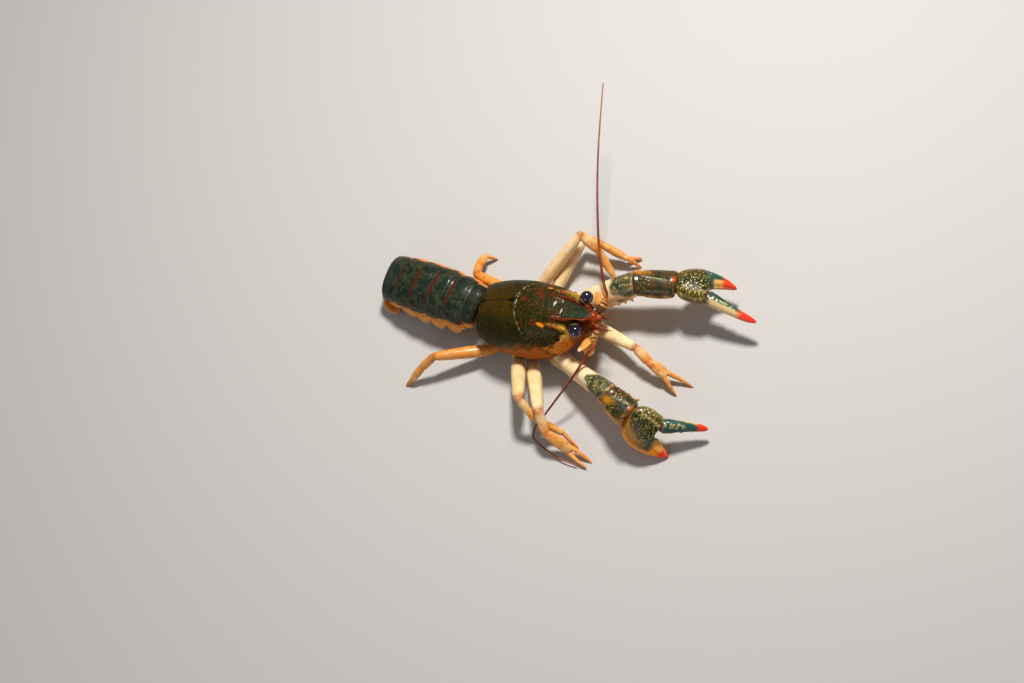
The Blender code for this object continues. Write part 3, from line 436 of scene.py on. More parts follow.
def pathRings(points, sideHint, sizes, count=16, power=2.0, first=None, last=None):
    # Rings square to a smooth path, of (half side, half up) sizes
    points = [Vector(p) for p in points]
    rings = []
    for i, point in enumerate(points):
        way = (points[min(i + 1, len(points) - 1)] - points[max(i - 1, 0)]).normalized()
        if i == 0 and first is not None:
            way = Vector(first).normalized()
        if i == len(points) - 1 and last is not None:
            way = Vector(last).normalized()
        side = squareTo(sideHint, way)
        halfSide, halfUp = sizes[i] if isinstance(sizes[i], tuple) else (sizes[i], sizes[i])
        rings.append(oval(point, side, side.cross(way), halfSide, halfUp, count, power))
    return rings


def joinMeshes(meshes):
    whole = bmesh.new()
    for mesh in meshes:
        data = bpy.data.meshes.new("part")
        mesh.to_mesh(data)
        mesh.free()
        whole.from_mesh(data)
        bpy.data.meshes.remove(data)
    return whole


def skin(meshes, voxel, rounds, factor=0.5):
    # One even skin over overlapping closed meshes
    data = bpy.data.meshes.new("skin")
    whole = joinMeshes(meshes)
    whole.to_mesh(data)
    whole.free()
    piece = bpy.data.objects.new("skin", data)
    scene.collection.objects.link(piece)
    remesh = piece.modifiers.new("remesh", "REMESH")
    remesh.mode = "VOXEL"
    remesh.voxel_size = voxel
    relax = piece.modifiers.new("relax", "SMOOTH")
    relax.factor, relax.iterations = factor, rounds
    bpy.context.view_layer.update()
    made = bpy.data.meshes.new_from_object(piece.evaluated_get(bpy.context.evaluated_depsgraph_get()))
    bpy.data.objects.remove(piece)
    bpy.data.meshes.remove(data)
    return made


def pointsOf(data):
    points = np.empty(len(data.vertices) * 3)
    data.vertices.foreach_get("co", points)
    return points.reshape(-1, 3)


def normalsOf(data):
    normals = np.empty(len(data.vertices) * 3)
    data.vertex_normals.foreach_get("vector", normals)
    return normals.reshape(-1, 3)


def movePoints(data, points):
    data.vertices.foreach_set("co", points.ravel())
    data.update()


def paint(data, **areas):
    # Painted areas, each with one value from 0 to 1 at each point, which the materials read by its name
    for name, values in areas.items():
        layer = data.attributes.new(name, "FLOAT", "POINT")
        layer.data.foreach_set("value", np.clip(values, 0.0, 1.0).astype(np.float32))


def nearPath(points, path):
    # Distance of each point from a bent line, and how far along the line it is
    path = np.array([tuple(p) for p in path])
    best = np.full(len(points), 1e9)
    along = np.zeros(len(points))
    run = 0.0
    for a, b in zip(path, path[1:]):
        length = np.linalg.norm(b - a)
        t = np.clip((points - a) @ (b - a) / length ** 2, 0, 1)
        gap = np.linalg.norm(points - (a + t[:, None] * (b - a)), axis=1)
        closer = gap < best
        best = np.where(closer, gap, best)
        along = np.where(closer, run + t * length, along)
        run += length
    return best, along


def near(points, centre, radius):
    return np.exp(-np.sum((points - np.array(centre)) ** 2, axis=1) / radius ** 2)


def ripple(points, size, seed):
    # Soft irregular change between about -1 and 1, for the edges of painted areas
    draw = np.random.default_rng(seed)
    total = np.zeros(len(points))
    for _ in range(7):
        way = draw.normal(size=3)
        way /= np.linalg.norm(way)
        total += np.sin(points @ way * 2 * math.pi / (size * draw.uniform(0.7, 1.6))
                        + draw.uniform(0, 6.28))
    return total / 3.0


def thorn(foot, way, length, radius):
    # Small pointed spine whose root reaches back into the part it stands on
    foot, way = Vector(foot), Vector(way).normalized()
    points = (foot - way * radius * 0.9, foot + way * length * 0.35, foot + way * length * 0.8, foot
              + way * length)
    return tube(pathRings(points, way.orthogonal(), [radius * f for f in (1.0, 0.85, 0.4, 0.12)], 12), 3)


def asMesh(mesh):
    data = bpy.data.meshes.new("piece")
    mesh.to_mesh(data)
    mesh.free()
    return data


def place(name, data, made, slotName, nodes=()):
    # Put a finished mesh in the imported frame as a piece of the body
    data.name = name
    data.transform(Matrix.Translation(planShift) @ Matrix.Scale(mm, 4))
    data.shade_smooth()
    data.materials.clear()
    data.materials.append(made)
    piece = bpy.data.objects.new(name, data)
    scene.collection.objects.link(piece)
    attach(piece, "root")
    if nodes:
        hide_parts(*nodes)
    return piece


# Carapace

carapace = {
    "voxel": 0.18, "relax": 5,
    "halfWidth": ((-2.0, 6.9), (1.0, 7.8), (5.0, 8.9), (10.0, 9.5), (15.0, 9.5), (20.0, 8.7), (24.0, 7.5),
                  (28.0, 6.0)),
    "bulge": ((0.0, 0.0), (8.0, 0.2), (13.0, 0.4), (17.0, 0.8), (22.0, 1.1), (28.0, 0.7)),
    "top": ((-2.0, 14.0), (0.0, 15.0), (3.0, 16.6), (8.0, 18.4), (12.8, 19.1), (17.0, 19.2), (22.0, 18.4),
            (25.0, 17.4), (28.0, 16.0)),
    "low": ((-2.0, 6.2), (2.0, 5.5), (8.0, 4.7), (15.0, 4.4), (18.5, 4.7), (22.0, 5.2), (28.0, 7.2)),
    "middle": ((-2.0, 9.4), (8.0, 9.3), (16.0, 9.8), (22.0, 10.9), (28.0, 11.9)),
    "bend": ((0.0, -0.5), (5.0, 2.6), (9.0, 6.8), (12.4, 9.8), (16.2, 8.6), (20.0, 6.0), (27.4, 0.2)),
    "lean": ((-2.0, 0.0), (1.0, 0.02), (5.0, 0.08), (22.0, 0.09), (27.4, 0.03)),
    "bendReach": 1.6, "bendPower": 0.95, "upperPower": 2.25, "lowerPower": 3.4,
    "front": 27.4, "groove": 12.4, "grooveDepth": 0.5, "grooveWidth": 0.34,
    "rostrum": ((21.5, 3.4, 17.9, 1.2), (25.5, 3.3, 17.35, 1.1), (28.5, 2.8, 16.7, 1.0),
                (31.2, 2.1, 16.1, 0.85),
                (32.6, 1.1, 15.75, 0.6), (34.0, 0.3, 15.4, 0.35)),
    "head": ((20.0, 4.4, 7.9, 14.6), (24.0, 5.0, 7.9, 14.6), (27.5, 5.2, 8.0, 13.2),
             (30.2, 4.7, 8.6, 12.8),
             (31.6, 3.2, 9.4, 12.3)),
    "ridge": ((20.6, 4.9, 17.35), (23.0, 5.0, 16.95), (25.2, 5.05, 16.2), (26.9, 5.1, 15.2)),
}
eyeForm = {"radius": 1.74, "left": (29.9, 4.75, 15.4), "right": (29.4, -5.0, 15.1),
           "orbit": (-0.3, -0.5, 0.3), "orbitRadius": 2.5,
           "stalk": ((27.6, 1.2, 14.3), (28.3, 2.5, 14.6))}


def shellPoint(along, angle, inset=0.0):
    # Point of the shell; angle 90 is the back's mid line, -90 the belly's
    s, c = math.sin(math.radians(angle)), math.cos(math.radians(angle))
    down = (1 - s) / 2
    x = along + curveValue(carapace["bend"], along) * min(1.0, carapace["bendReach"]
                                                          * down) ** carapace["bendPower"]
    middle, half = curveValue(carapace["middle"], x), curveValue(carapace["halfWidth"], x)
    if s >= 0:
        rise, power = curveValue(carapace["top"], x) - middle, carapace["upperPower"]
    else:
        rise, power = middle - curveValue(carapace["low"], x), carapace["lowerPower"]
        half += curveValue(carapace["bulge"], x) * min(1.0, -1.8 * s)
    y = math.copysign(abs(c) ** (2 / power), c) * half
    z = math.copysign(abs(s) ** (2 / power), s) * rise
    z = middle + z * (1 - inset)
    lean = curveValue(carapace["lean"], x) * (curveValue(carapace["top"], x) - z)
    return lift((x, y * (1 - inset) - lean, z))


def shellPlace(points):
    # How far along the shell, how far up its side (-1 to 1) and the body frame place of points
    x, y, z = unlift(points)
    middle = curveValues(carapace["middle"], x)
    above = np.clip((z - middle) / (curveValues(carapace["top"], x) - middle), 0,
                    1) ** (carapace["upperPower"] / 2)
    below = np.clip((middle - z) / (middle - curveValues(carapace["low"], x)), 0,
                    1) ** (carapace["lowerPower"] / 2)
    height = above - below
    share = np.minimum(1.0, carapace["bendReach"] * (1 - height) / 2) ** carapace["bendPower"]
    steps = np.linspace(0.0, carapace["front"], 275)
    bends = np.array([curveValue(carapace["bend"], k) for k in steps])
    levels = 40
    table = np.array([np.interp(x, steps + bends * level / levels, steps) for level in range(levels + 1)])
    low = np.minimum((share * levels).astype(int), levels - 1)
    part = share * levels - low
    each = np.arange(len(x))
    along = table[low, each] * (1 - part) + table[low + 1, each] * part
    return along, height, x, y, z


def levelTube(rings, count):
    # Closed tube of upright ovals along the body: place, half width, middle height, half height
    sideWay, upWay = Vector((0, 1, 0)), Vector((0, 0, 1))
    return tube([[lift(p) for p in oval(Vector((x, 0, middle)), sideWay, upWay, half, rise, count, 2.6)]
                 for x, half, middle, rise in rings], 5)


rings = []
for along in (0.0, 0.25, 0.6, 1.2, 2.0, 3.0, 4.3, 5.6, 6.9, 8.2, 9.2, 10.2, 11.2, 12.0, 12.9, 13.8, 15.0,
              16.3, 17.6,
              19.0, 20.4, 21.8, 23.2, 24.5, 25.7, 26.7, carapace["front"]):
    inset = 0.13 if along == 0 else 0.05 if along == 0.25 else 0.015 if along == 0.6 else 0.0
    inset = 0.12 if along == carapace["front"] else 0.03 if along == 26.7 else inset
    rings.append([shellPoint(along, -90 + 360 * k / 96, inset) for k in range(96)])
shellMeshes = [tube(rings, 3)]
shellMeshes.append(levelTube([(x, half, (low + top) / 2, (top - low) / 2) for x, half, low,
                              top in carapace["head"]], 32))
shellMeshes.append(levelTube([(x, half, top - thick, thick) for x, half, top,
                              thick in carapace["rostrum"]], 28))
rims, ridges = [], []
for side in (1, -1):
    rim = [lift((x, side * half * 0.93, top - 0.05)) for x, half, top, thick in carapace["rostrum"][:5]]
    rims.append(rim)
    shellMeshes.append(tube(pathRings(rim, (0, 1, 0), (0.3, 0.45, 0.48, 0.42, 0.3)), 5))
    ridge = [lift((x, side * y, z)) for x, y, z in carapace["ridge"]]
    ridges.append(ridge)
    shellMeshes.append(tube(pathRings(ridge, (0, 1, 0), (0.2, 0.36, (0.46, 0.44), 0.25)), 5))
for side in (1, -1):    # small spines on the cheek, behind the eye
    for x, angle in ((24.6, 24), (22.9, 14), (21.2, 6)):
        foot = shellPoint(x, angle if side > 0 else 180 - angle)
        shellMeshes.append(thorn(foot, (0.8, 0.6 * side, 0.1), 0.5, 0.34))
data = skin(shellMeshes, carapace["voxel"], carapace["relax"])
points, normals = pointsOf(data), normalsOf(data)
along, height, bodyX, bodyY, bodyZ = shellPlace(points)
onShell = fade(27.6, 26.6, bodyX)
groove = (bell(along, carapace["groove"], carapace["grooveWidth"]) * fade(-0.6, -0.35, height)
          * onShell)
wide = 0.1 + 0.5 * fade(9.2, 12.0, along) + 0.75 * fade(3.2, 0.6, along)
areola = (bell(bodyY, 0, wide) * fade(0.2, 0.9, along) * fade(12.5, 11.9, along)
          * fade(0.5, 0.8, height))
rear = bell(along, 1.15, 0.35)
trough = bell(bodyY, 0, 1.9) * fade(22.5, 26.0, bodyX) * fade(0.0, 0.5, normals[:, 2])
margin = (bell(height + 0.5 + 0.05 * np.sin(bodyX), 0, 0.055) * fade(12.5, 13.5, along)
          * fade(27.5, 26.5, bodyX))
drop = carapace["grooveDepth"] * groove + 0.16 * areola + 0.16 * rear + 0.35 * trough + 0.14 * margin
points = points - normals * drop[:, None]
for side, sideName in ((1, "left"), (-1, "right")):
    x, y, z = Vector(eyeForm[sideName]) + Vector(eyeForm["orbit"]) * Vector((1, side, 1))
    middle = np.array(tuple(lift((x, y, z))))
    way = np.array((-0.45, -0.8 * side, -0.4))
    way /= np.linalg.norm(way)
    offset = points - middle
    reachIn = offset @ way
    square = np.sum(offset ** 2, axis=1)
    push = -reachIn + np.sqrt(np.maximum(reachIn ** 2 - square + eyeForm["orbitRadius"] ** 2, 0))
    points = points + np.where(square < eyeForm["orbitRadius"] ** 2, push, 0)[:, None] * way
movePoints(data, points)
ridgeMask, spotMask, rimMask, tipMask, orbitMask = (np.zeros(len(points)) for _ in range(5))
for side, sideName in ((0, "left"), (1, "right")):
    hand = (1, -1)[side]
    gap, run = nearPath(points, ridges[side])
    thin = 0.22 + 0.3 * fade(2.0, 5.0, run)
    ridgeMask = np.maximum(ridgeMask, bell(np.maximum(gap - 0.25, 0), 0, thin) * fade(0.6, 2.0, run))
    tipMask = np.maximum(tipMask, bell(gap, 0, 0.75) * fade(4.0, 5.2, run))
    gap, run = nearPath(points, rims[side])
    rimMask = np.maximum(rimMask, bell(gap, 0, 0.42) * fade(0.5, 3.0, run))
    spotLine = [lift((x, hand * y, 17.35)) for x, y in ((19.6, 5.1), (20.4, 5.3), (20.9, 5.55))]
    gap, run = nearPath(points, spotLine)
    spotMask = np.maximum(spotMask, fade(0.62 if side else 0.36, 0.34 if side else 0.15, gap))
    middle = lift(Vector(eyeForm[sideName]) + Vector(eyeForm["orbit"]) * Vector((1, hand, 1)))
    gap = np.linalg.norm(points - np.array(middle), axis=1)
    orbitMask = np.maximum(orbitMask, bell(gap - eyeForm["orbitRadius"], 0.08, 0.15))
edge = 0.1 * ripple(points, 2.2, 3) + 0.07 * ripple(points, 0.8, 4)
cheekTop = curveValues(((12.0, -0.45), (16.0, -0.25), (18.5, 0.02), (22.0, 0.1), (24.2, 0.2),
                        (25.6, 0.42),
                        (27.6, 0.52)), bodyX)
fore = fade(12.0, 12.8, along) * fade(28.5, 27.0, bodyX)
cheek = fade(0.05, -0.06, height - cheekTop + edge) * fore
dotted = bell(along - carapace["groove"], -0.13, 0.11) * fade(-0.6, -0.35, height) * onShell
paint(data, groove=dotted,
      # Painted shade: a near-black line in the front half of the cervical groove
      grooveDark=bell(along - carapace["groove"], 0.22, 0.2) * fade(-0.6, -0.35, height) * onShell)
# Painted shade: near-black along the narrow areola groove on the back's mid line, widening into a wedge where
# it meets the cervical groove
shadeWedge = fade(0.16, 0.0, np.abs(bodyY) - 0.75 * fade(9.6, 11.8, along)) * fade(9.4, 9.9, along) * (1
        - fade(11.6, 11.9, along)) * (height > 0.5)
paint(data, areola=np.maximum(areola, shadeWedge * onShell), ridge=ridgeMask, ridgeTip=tipMask,
      rim=rimMask + bell(bodyX, 33.4, 0.8) * (bodyX > 32), spot=spotMask,
      orbit=orbitMask * fade(0.85, 0.65, height), fore=fore * fade(0.2, 0.5, height),
      beak=fade(23.0, 26.5, bodyX) * fade(3.4, 2.6, np.abs(bodyY)) * fade(0.7, 0.9, height),
      sides=fade(0.93, 0.75, height) * fade(11.5, 12.5, along), cheek=cheek,
      cheekPale=cheek * fade(22.5, 25.0, bodyX) * fade(0.05, 0.35, height),
      cheekLow=fore * fade(-0.2, -0.42, height + 0.5 * edge),
      # under: dark red-brown on the shell's underside is painted shade, with the shell's own red spots over it
      under=fade(-0.32, -0.5, height + 0.5 * edge) * fade(0.5, 1.5, along), margin=margin)
lowTop = curveValues(((0.0, -0.3), (4.0, -0.12), (9.0, 0.06), (14.0, 0.16), (20.0, 0.16)), bodyX)
paint(data, lowSide=fade(0.26, 0.0, height - lowTop + edge) * fade(0.0, 2.0, along) * (1 - fore),
      lowEdge=fade(0.05, -0.14, height - lowTop + edge) * fade(0.0, 2.0, along) * (1 - fore),
      flank=fade(0.7, 0.1, height) * (1 - fore),
      back=fade(0.86, 0.97, height) * fade(12.0, 10.5, along),
      face=fade(27.4, 28.4, bodyX) * fade(15.4, 14.4, bodyZ))

shellPaint = {
    "colour": (0.022, 0.015, 0.0016), "relief": (0.34, 1.0, 0.6, 0.38), "coat": 0.18, "bump": 1.0,
    "shine": 0.04,
    "layers": (
        ("", "mottle", (2.8, 0.42, 0.6), (0.034, 0.026, 0.003), 1.0),
        ("", "mottle", (1.3, 0.54, 0.66), (0.01, 0.015, 0.004), 0.85),
        ("flank", "mottle", (3.0, 0.3, 0.6), (0.036, 0.042, 0.012), 0.85),
        ("flank", "mottle", (1.0, 0.5, 0.6), (0.066, 0.04, 0.006), 0.7),
        ("back", "mottle", (4.5, 0.25, 0.55), (0.06, 0.03, 0.001), 0.85),
        ("", "specks", (0.46, 0.32, 0.5), (0.09, 0.062, 0.008), 0.5),
        ("", "mottle", (0.8, 0.54, 0.62), (0.007, 0.011, 0.003), 0.7),
        ("fore", "mottle", (1.1, 0.5, 0.62), (0.007, 0.02, 0.007), 0.85),
        ("fore", "mottle", (2.0, 0.56, 0.64), (0.115, 0.016, 0.002), 0.9),
        ("beak", "mottle", (1.2, 0.25, 0.55), (0.009, 0.02, 0.008), 0.85),
        ("sides", "specks", (0.55, 0.4, 0.6), (0.15, 0.105, 0.006), 0.8),
        ("beak", "specks", (0.42, 0.36, 0.5), (0.13, 0.16, 0.05), 0.6),
        ("fore", "specks", (0.44, 0.34, 0.45), (0.26, 0.07, 0.005), 0.75),
        ("fore", "specks", (0.36, 0.36, 0.45), (0.13, 0.12, 0.024), 0.75),
        ("lowSide", "mottle", (2.0, 0.25, 0.5), (0.2, 0.062, 0.008), 0.9),
        ("lowEdge", "mottle", (1.8, 0.15, 0.38), (0.44, 0.1, 0.008), 1.0),
        ("lowEdge", "mottle", (1.1, 0.5, 0.62), (0.3, 0.14, 0.05), 0.6),
        ("cheek", "", (), (0.7, 0.185, 0.008), 1.0),
        ("cheek", "mottle", (1.2, 0.52, 0.62), (0.64, 0.3, 0.035), 0.9),
        ("cheekPale", "mottle", (1.3, 0.25, 0.45), (0.76, 0.44, 0.1), 0.85),
        ("cheek", "mottle", (0.7, 0.58, 0.66), (0.07, 0.036, 0.004), 0.8),
        ("cheekLow", "mottle", (1.6, 0.25, 0.48), (0.6, 0.07, 0.004), 0.9),
        # Underside: the dark red-brown is painted shade; the red mottle after it is the shell's own red spots
        ("under", "mottle", (1.4, 0.15, 0.4), (0.26, 0.03, 0.003), 0.92),
        ("under", "mottle", (0.9, 0.56, 0.64), (0.66, 0.026, 0.005), 0.8),
        ("margin", "mottle", (1.2, 0.3, 0.45), (0.8, 0.42, 0.08), 0.9),
        # Painted shade along the areola groove and its wedge, near-black
        ("areola", "", (), (0.003, 0.003, 0.001), 0.92),
        # Painted shade in the cervical groove, near-black
        ("grooveDark", "", (), (0.004, 0.004, 0.002), 0.9),
        ("groove", "mottle", (0.55, 0.47, 0.56), (0.5, 0.44, 0.17), 0.9),
        ("spot", "", (), (0.9, 0.25, 0.008), 1.0),
        ("ridge", "mottle", (0.9, 0.38, 0.54), (0.56, 0.18, 0.016), 0.9),
        ("ridgeTip", "mottle", (0.7, 0.36, 0.54), (0.66, 0.46, 0.06), 0.8),
        ("orbit", "mottle", (0.8, 0.36, 0.54), (0.5, 0.24, 0.05), 0.75),
        ("face", "mottle", (1.3, 0.36, 0.5), (0.32, 0.06, 0.006), 1.0),
        ("rim", "", (), (0.3, 0.022, 0.003), 0.96),
    ),
}
place("carapace", data, shellMaterial("carapaceShell", shellPaint), "shell", ("cephalothorax",))
print("carapace is done")


# Breast plate between the legs

breast = {"voxel": 0.24, "rings": ((3.6, 2.6, 3.4, 7.6), (6.0, 3.9, 2.5, 7.6), (14.6, 3.9, 2.3, 7.6),
                                   (17.2, 3.1, 3.3, 8.0), (19.0, 2.9, 4.3, 8.4), (21.5, 2.5, 5.4, 9.0))}
breastMesh = levelTube([(x, half, (low + top) / 2, (top - low) / 2) for x, half, low,
                        top in breast["rings"]], 32)
bellyPaint = {
    "colour": (0.66, 0.42, 0.18), "relief": (0.5, 0.4, 0.5, 0.38), "coat": 0.25, "flesh": 0.15,
    "layers": (
        ("", "mottle", (2.6, 0.42, 0.62), (0.72, 0.3, 0.08), 1.0),
        ("", "mottle", (1.0, 0.5, 0.68), (0.8, 0.6, 0.34), 0.7),
    ),
}


# Legs

legRoots = {1: (18.3, 4.7, 4.5, 1.8), 2: (15.3, 3.8, 2.7, 1.4), 3: (11.8, 4.5, 2.8, 1.4),
            4: (8.6, 4.5, 3.0, 1.4),
            5: (5.4, 4.3, 3.4, 1.3)}
# End of the base, knee, end of the wrist, end of the palm, tip
legJoints = {
    ("left", 2): ((21.4, 4.3, 1.8), (42.1, -2.8, 6.6), (45.9, -5.3, 5.2), (51.0, -7.5, 2.9),
                  (57.9, -8.4, 0.0)),
    ("left", 3): ((13.8, 10.2, 2.4), (19.4, 26.2, 6.4), (24.2, 25.2, 5.8), (31.2, 23.6, 2.8),
                  (34.9, 22.8, 0.0)),
    ("left", 4): ((9.6, 9.8, 3.6), (20.1, 24.2, 11.8), (24.6, 22.4, 8.0), (28.7, 18.3, 3.0),
                  (31.0, 16.4, 0.0)),
    ("left", 5): ((2.4, 8.6, 3.2), (-8.1, 11.8, 4.5), (-8.5, 14.9, 4.0), (-8.0, 18.1, 2.7),
                  (-5.4, 18.9, 0.0)),
    ("right", 2): ((18.8, -7.4, 1.7), (29.8, -11.6, 1.7), (35.4, -13.8, 2.3), (41.0, -17.2, 1.8),
                   (46.0, -20.2, 0.0)),
    ("right", 3): ((14.2, -9.8, 2.6), (22.7, -25.9, 9.8), (24.9, -29.9, 6.2), (31.2, -31.9, 2.0),
                   (37.2, -33.6, 0.0)),
    ("right", 4): ((10.4, -10.2, 3.4), (16.9, -23.8, 11.2), (20.8, -26.6, 7.0), (28.3, -27.9, 2.6),
                   (32.6, -30.4, 0.0)),
    ("right", 5): ((2.2, -8.4, 3.2), (-11.4, -14.8, 7.2), (-14.8, -17.4, 4.6), (-17.6, -20.0, 1.9),
                   (-19.6, -21.6, 0.0)),
}
pincerTips = {("left", 2): (54.1, -11.4, 0.4), ("left", 3): (34.6, 25.2, 0.6),
              ("right", 2): (45.2, -22.4, 0.5),
              ("right", 3): (36.4, -35.4, 0.6)}
legForm = {
    "voxel": 0.15, "relax": 3,
    "depth": {2: 1.35, 3: 1.8, 4: 1.9, 5: 1.55},
    "lower": ((0.0, 0.86, 0.9), (0.06, 0.95, 1.05), (0.4, 1.02, 1.2), (0.84, 1.02, 1.14),
              (0.95, 0.94, 1.04),
              (1.0, 0.84, 0.94), (1.07, 0.9, 1.02), (1.3, 0.96, 1.14), (1.8, 0.86, 1.02),
              (1.95, 0.76, 0.88),
              (2.0, 0.6, 0.7), (2.08, 0.6, 0.7), (2.45, 0.47, 0.57), (2.85, 0.3, 0.36),
              (3.0, 0.13, 0.16)),
    "handLower": ((0.0, 0.95, 0.9), (0.06, 1.14, 1.05), (0.4, 1.28, 1.16), (0.84, 1.28, 1.12),
                  (0.95, 1.18, 1.04),
                  (1.0, 1.06, 0.95), (1.07, 1.16, 1.0), (1.3, 1.38, 1.08), (1.75, 1.54, 1.1),
                  (2.0, 1.2, 0.8)),
}


def legRoot(number, side):
    x, y, z, radius = legRoots[number]
    return lift((x, side * y, z))


def rootKnuckle(root, way, across, radius, side, count):
    # Round root of a leg, sunk into the breast plate
    inner = root - way * 1.7 + Vector((0, -0.6 * side, 0.8))
    sizes = [radius * f for f in (0.8, 1.05, 0.95, 0.7)]
    return tube(pathRings((inner, root - way * 0.8, root + way * 0.75, root + way), across, sizes, count),
                4)


def upperStations(depth, front, broad=False):
    if broad:
        return [(t, a * (1.2 if 0.3 < t < 1.95 else 1.0), b) for t, a, b in upperStations(depth, False)]
    if front:    # broader and set to one side on the foremost left leg
        return ((0.0, 0.95, 0.95), (0.15, 1.2, 1.2), (0.4, 1.4, 1.3, -0.1), (0.86, 1.65, 1.35, -0.3),
                (0.96, 1.5, 1.25, -0.4), (1.0, 1.45, 1.2, -0.4), (1.05, 1.75, 1.3, -0.5),
                (1.25, 2.05, depth, -0.6), (1.6, 1.8, depth * 0.97, -0.4),
                (1.88, 1.35, depth * 0.8, -0.15),
                (1.97, 1.15, 1.02), (2.0, 0.95, 0.85))
    return ((0.0, 0.95, 0.95), (0.15, 1.2, 1.2), (0.5, 1.36, 1.34), (0.86, 1.42, 1.38), (0.96, 1.36, 1.3),
            (1.0, 1.3, 1.25), (1.05, 1.42, 1.35), (1.25, 1.62, depth), (1.6, 1.46, depth * 0.97),
            (1.88, 1.22, depth * 0.8), (1.97, 1.08, 1.02), (2.0, 0.9, 0.85))


def smallFinger(palmStart, palmEnd, tip, across, shift):
    # Slim finger that grows out of the end of a small hand, shifted to one side of it
    way = (palmEnd - palmStart).normalized()
    offset = across * shift
    points = (palmEnd - way * 1.6 + offset * 0.6, palmEnd - way * 0.2 + offset,
              (palmEnd + offset).lerp(tip, 0.45) + offset * 0.25, (palmEnd + offset).lerp(tip, 0.8)
              + offset * 0.12, tip)
    sizes = (0.4, 0.66, (0.52, 0.56), (0.36, 0.38), (0.16, 0.18))
    return tube(pathRings(points, across, sizes, 16), 5)


legPaint = {
    "colour": (0.84, 0.6, 0.27), "relief": (0.5, 0.35, 0.6, 0.36), "coat": 0.3, "flesh": 0.08,
    "bump": 0.35,
    "layers": (
        ("", "mottle", (2.0, 0.42, 0.62), (0.92, 0.74, 0.46), 0.85),
        ("outer", "mottle", (3.0, 0.15, 0.45), (0.76, 0.29, 0.04), 0.9),
        ("rear", "mottle", (2.2, 0.25, 0.55), (0.78, 0.3, 0.04), 0.85),
        ("outer", "mottle", (1.2, 0.5, 0.64), (0.46, 0.14, 0.016), 0.75),
        ("joint", "mottle", (1.2, 0.24, 0.46), (0.7, 0.19, 0.015), 0.7),
        ("knee", "mottle", (1.0, 0.35, 0.55), (0.2, 0.08, 0.015), 0.7),
        ("hand", "mottle", (1.6, 0.35, 0.55), (0.86, 0.55, 0.2), 0.6),
        ("tip", "", (), (0.7, 0.2, 0.014), 0.85),
    ),
}
legMaterial = shellMaterial("creamLeg", legPaint)
for (sideName, number), marks in legJoints.items():
    side = 1 if sideName == "left" else -1
    root = legRoot(number, side)
    radius = legRoots[number][3]
    way = (Vector(marks[0]) - root).normalized()
    start = root + way * 0.9
    across = sideOf((start, marks[1]))
    depth = legForm["depth"][number]
    kneePlane = (Vector(marks[1]) - Vector(marks[0])).normalized() + (Vector(marks[2])
            - Vector(marks[1])).normalized()
    meshes = [rootKnuckle(root, way, across, radius, side, 24)]
    upper = limbRings((start, marks[0], marks[1]),
                      upperStations(depth, (sideName, number) == ("left", 2),
                                    side < 0 and number in (3, 4)), across,
                      endPlane=kneePlane)
    meshes.append(tube(upper, 4))
    for joint, size in ((start, 0.95), (marks[1], 0.9), (marks[2], 0.8)):
        meshes.append(bead(joint, size))
    if (sideName, number) in pincerTips:
        lower = limbRings(marks[1:4], legForm["handLower"], across, startPlane=kneePlane)
        palmStart, palmEnd, tip = (Vector(p) for p in marks[2:5])
        second = Vector(pincerTips[(sideName, number)])
        way = (palmEnd - palmStart).normalized()
        handSide = squareTo(across, way)
        shift = 0.75 if (tip - second).dot(handSide) > 0 else -0.75
        meshes += [tube(lower, 4), smallFinger(palmStart, palmEnd, tip, handSide, shift),
                   smallFinger(palmStart, palmEnd, second, handSide, -shift)]
    else:
        lower = limbRings(marks[1:], legForm["lower"], across, startPlane=kneePlane)
        meshes.append(tube(lower, 4))
    data = skin(meshes, legForm["voxel"], legForm["relax"])
    points = pointsOf(data)
    line = [start] + [Vector(p) for p in marks]
    gap, run = nearPath(points, line)
    stops = np.cumsum([0.0] + [(b - a).length for a, b in zip(line, line[1:])])
    joint = np.zeros(len(points))
    for stop, reach in ((stops[0], 0.9), (stops[1], 0.8), (stops[2], 0.9), (stops[3], 0.8),
                        (stops[4], 0.6)):
        joint = np.maximum(joint, bell(run, stop, reach))
    points[:, 2] = np.maximum(points[:, 2], 0.0)
    movePoints(data, points)
    paint(data, joint=joint, knee=bell(run, stops[2], 0.8) * fade(1.1, 0.2, gap - 0.5),
          outer=fade(stops[2] - 1.0, stops[3], run) if number < 5 else fade(0.0, 3.0, run),
          rear=np.full(len(points), {2: 0.0, 3: 0.0, 4: 0.15, 5: 0.8}[number]),
          hand=bell(run - stops[4], -0.8, 1.3), tip=fade(stops[5] - 3.4, stops[5] - 1.0, run))
    place("leg%d%s" % (number, sideName.title()), data, legMaterial, "leg",
          ("leg_%d_upper_%s" % (number, sideName), "leg_%d_lower_%s" % (number, sideName)))
data = skin([breastMesh], breast["voxel"], 4)
place("breastPlate", data, shellMaterial("breastShell", bellyPaint), "shell", ("cephalothorax",))
print("legs are done")


# Claw arms and claws

armJoints = {
    "left": ((23.1, 8.9, 5.1), (38.9, 13.6, 11.6), (49.4, 15.1, 11.3)),
    "right": ((23.1, -8.3, 5.2), (40.5, -18.4, 10.0), (47.1, -22.1, 10.0)),
}
# Way of the palm, and the outward way across it
clawWays = {
    "left": ((0.967, 0.048, -0.25), (-0.05, 0.95, -0.3)),
    "right": ((0.784, -0.318, -0.515), (-0.6, -0.68, -0.42)),
}
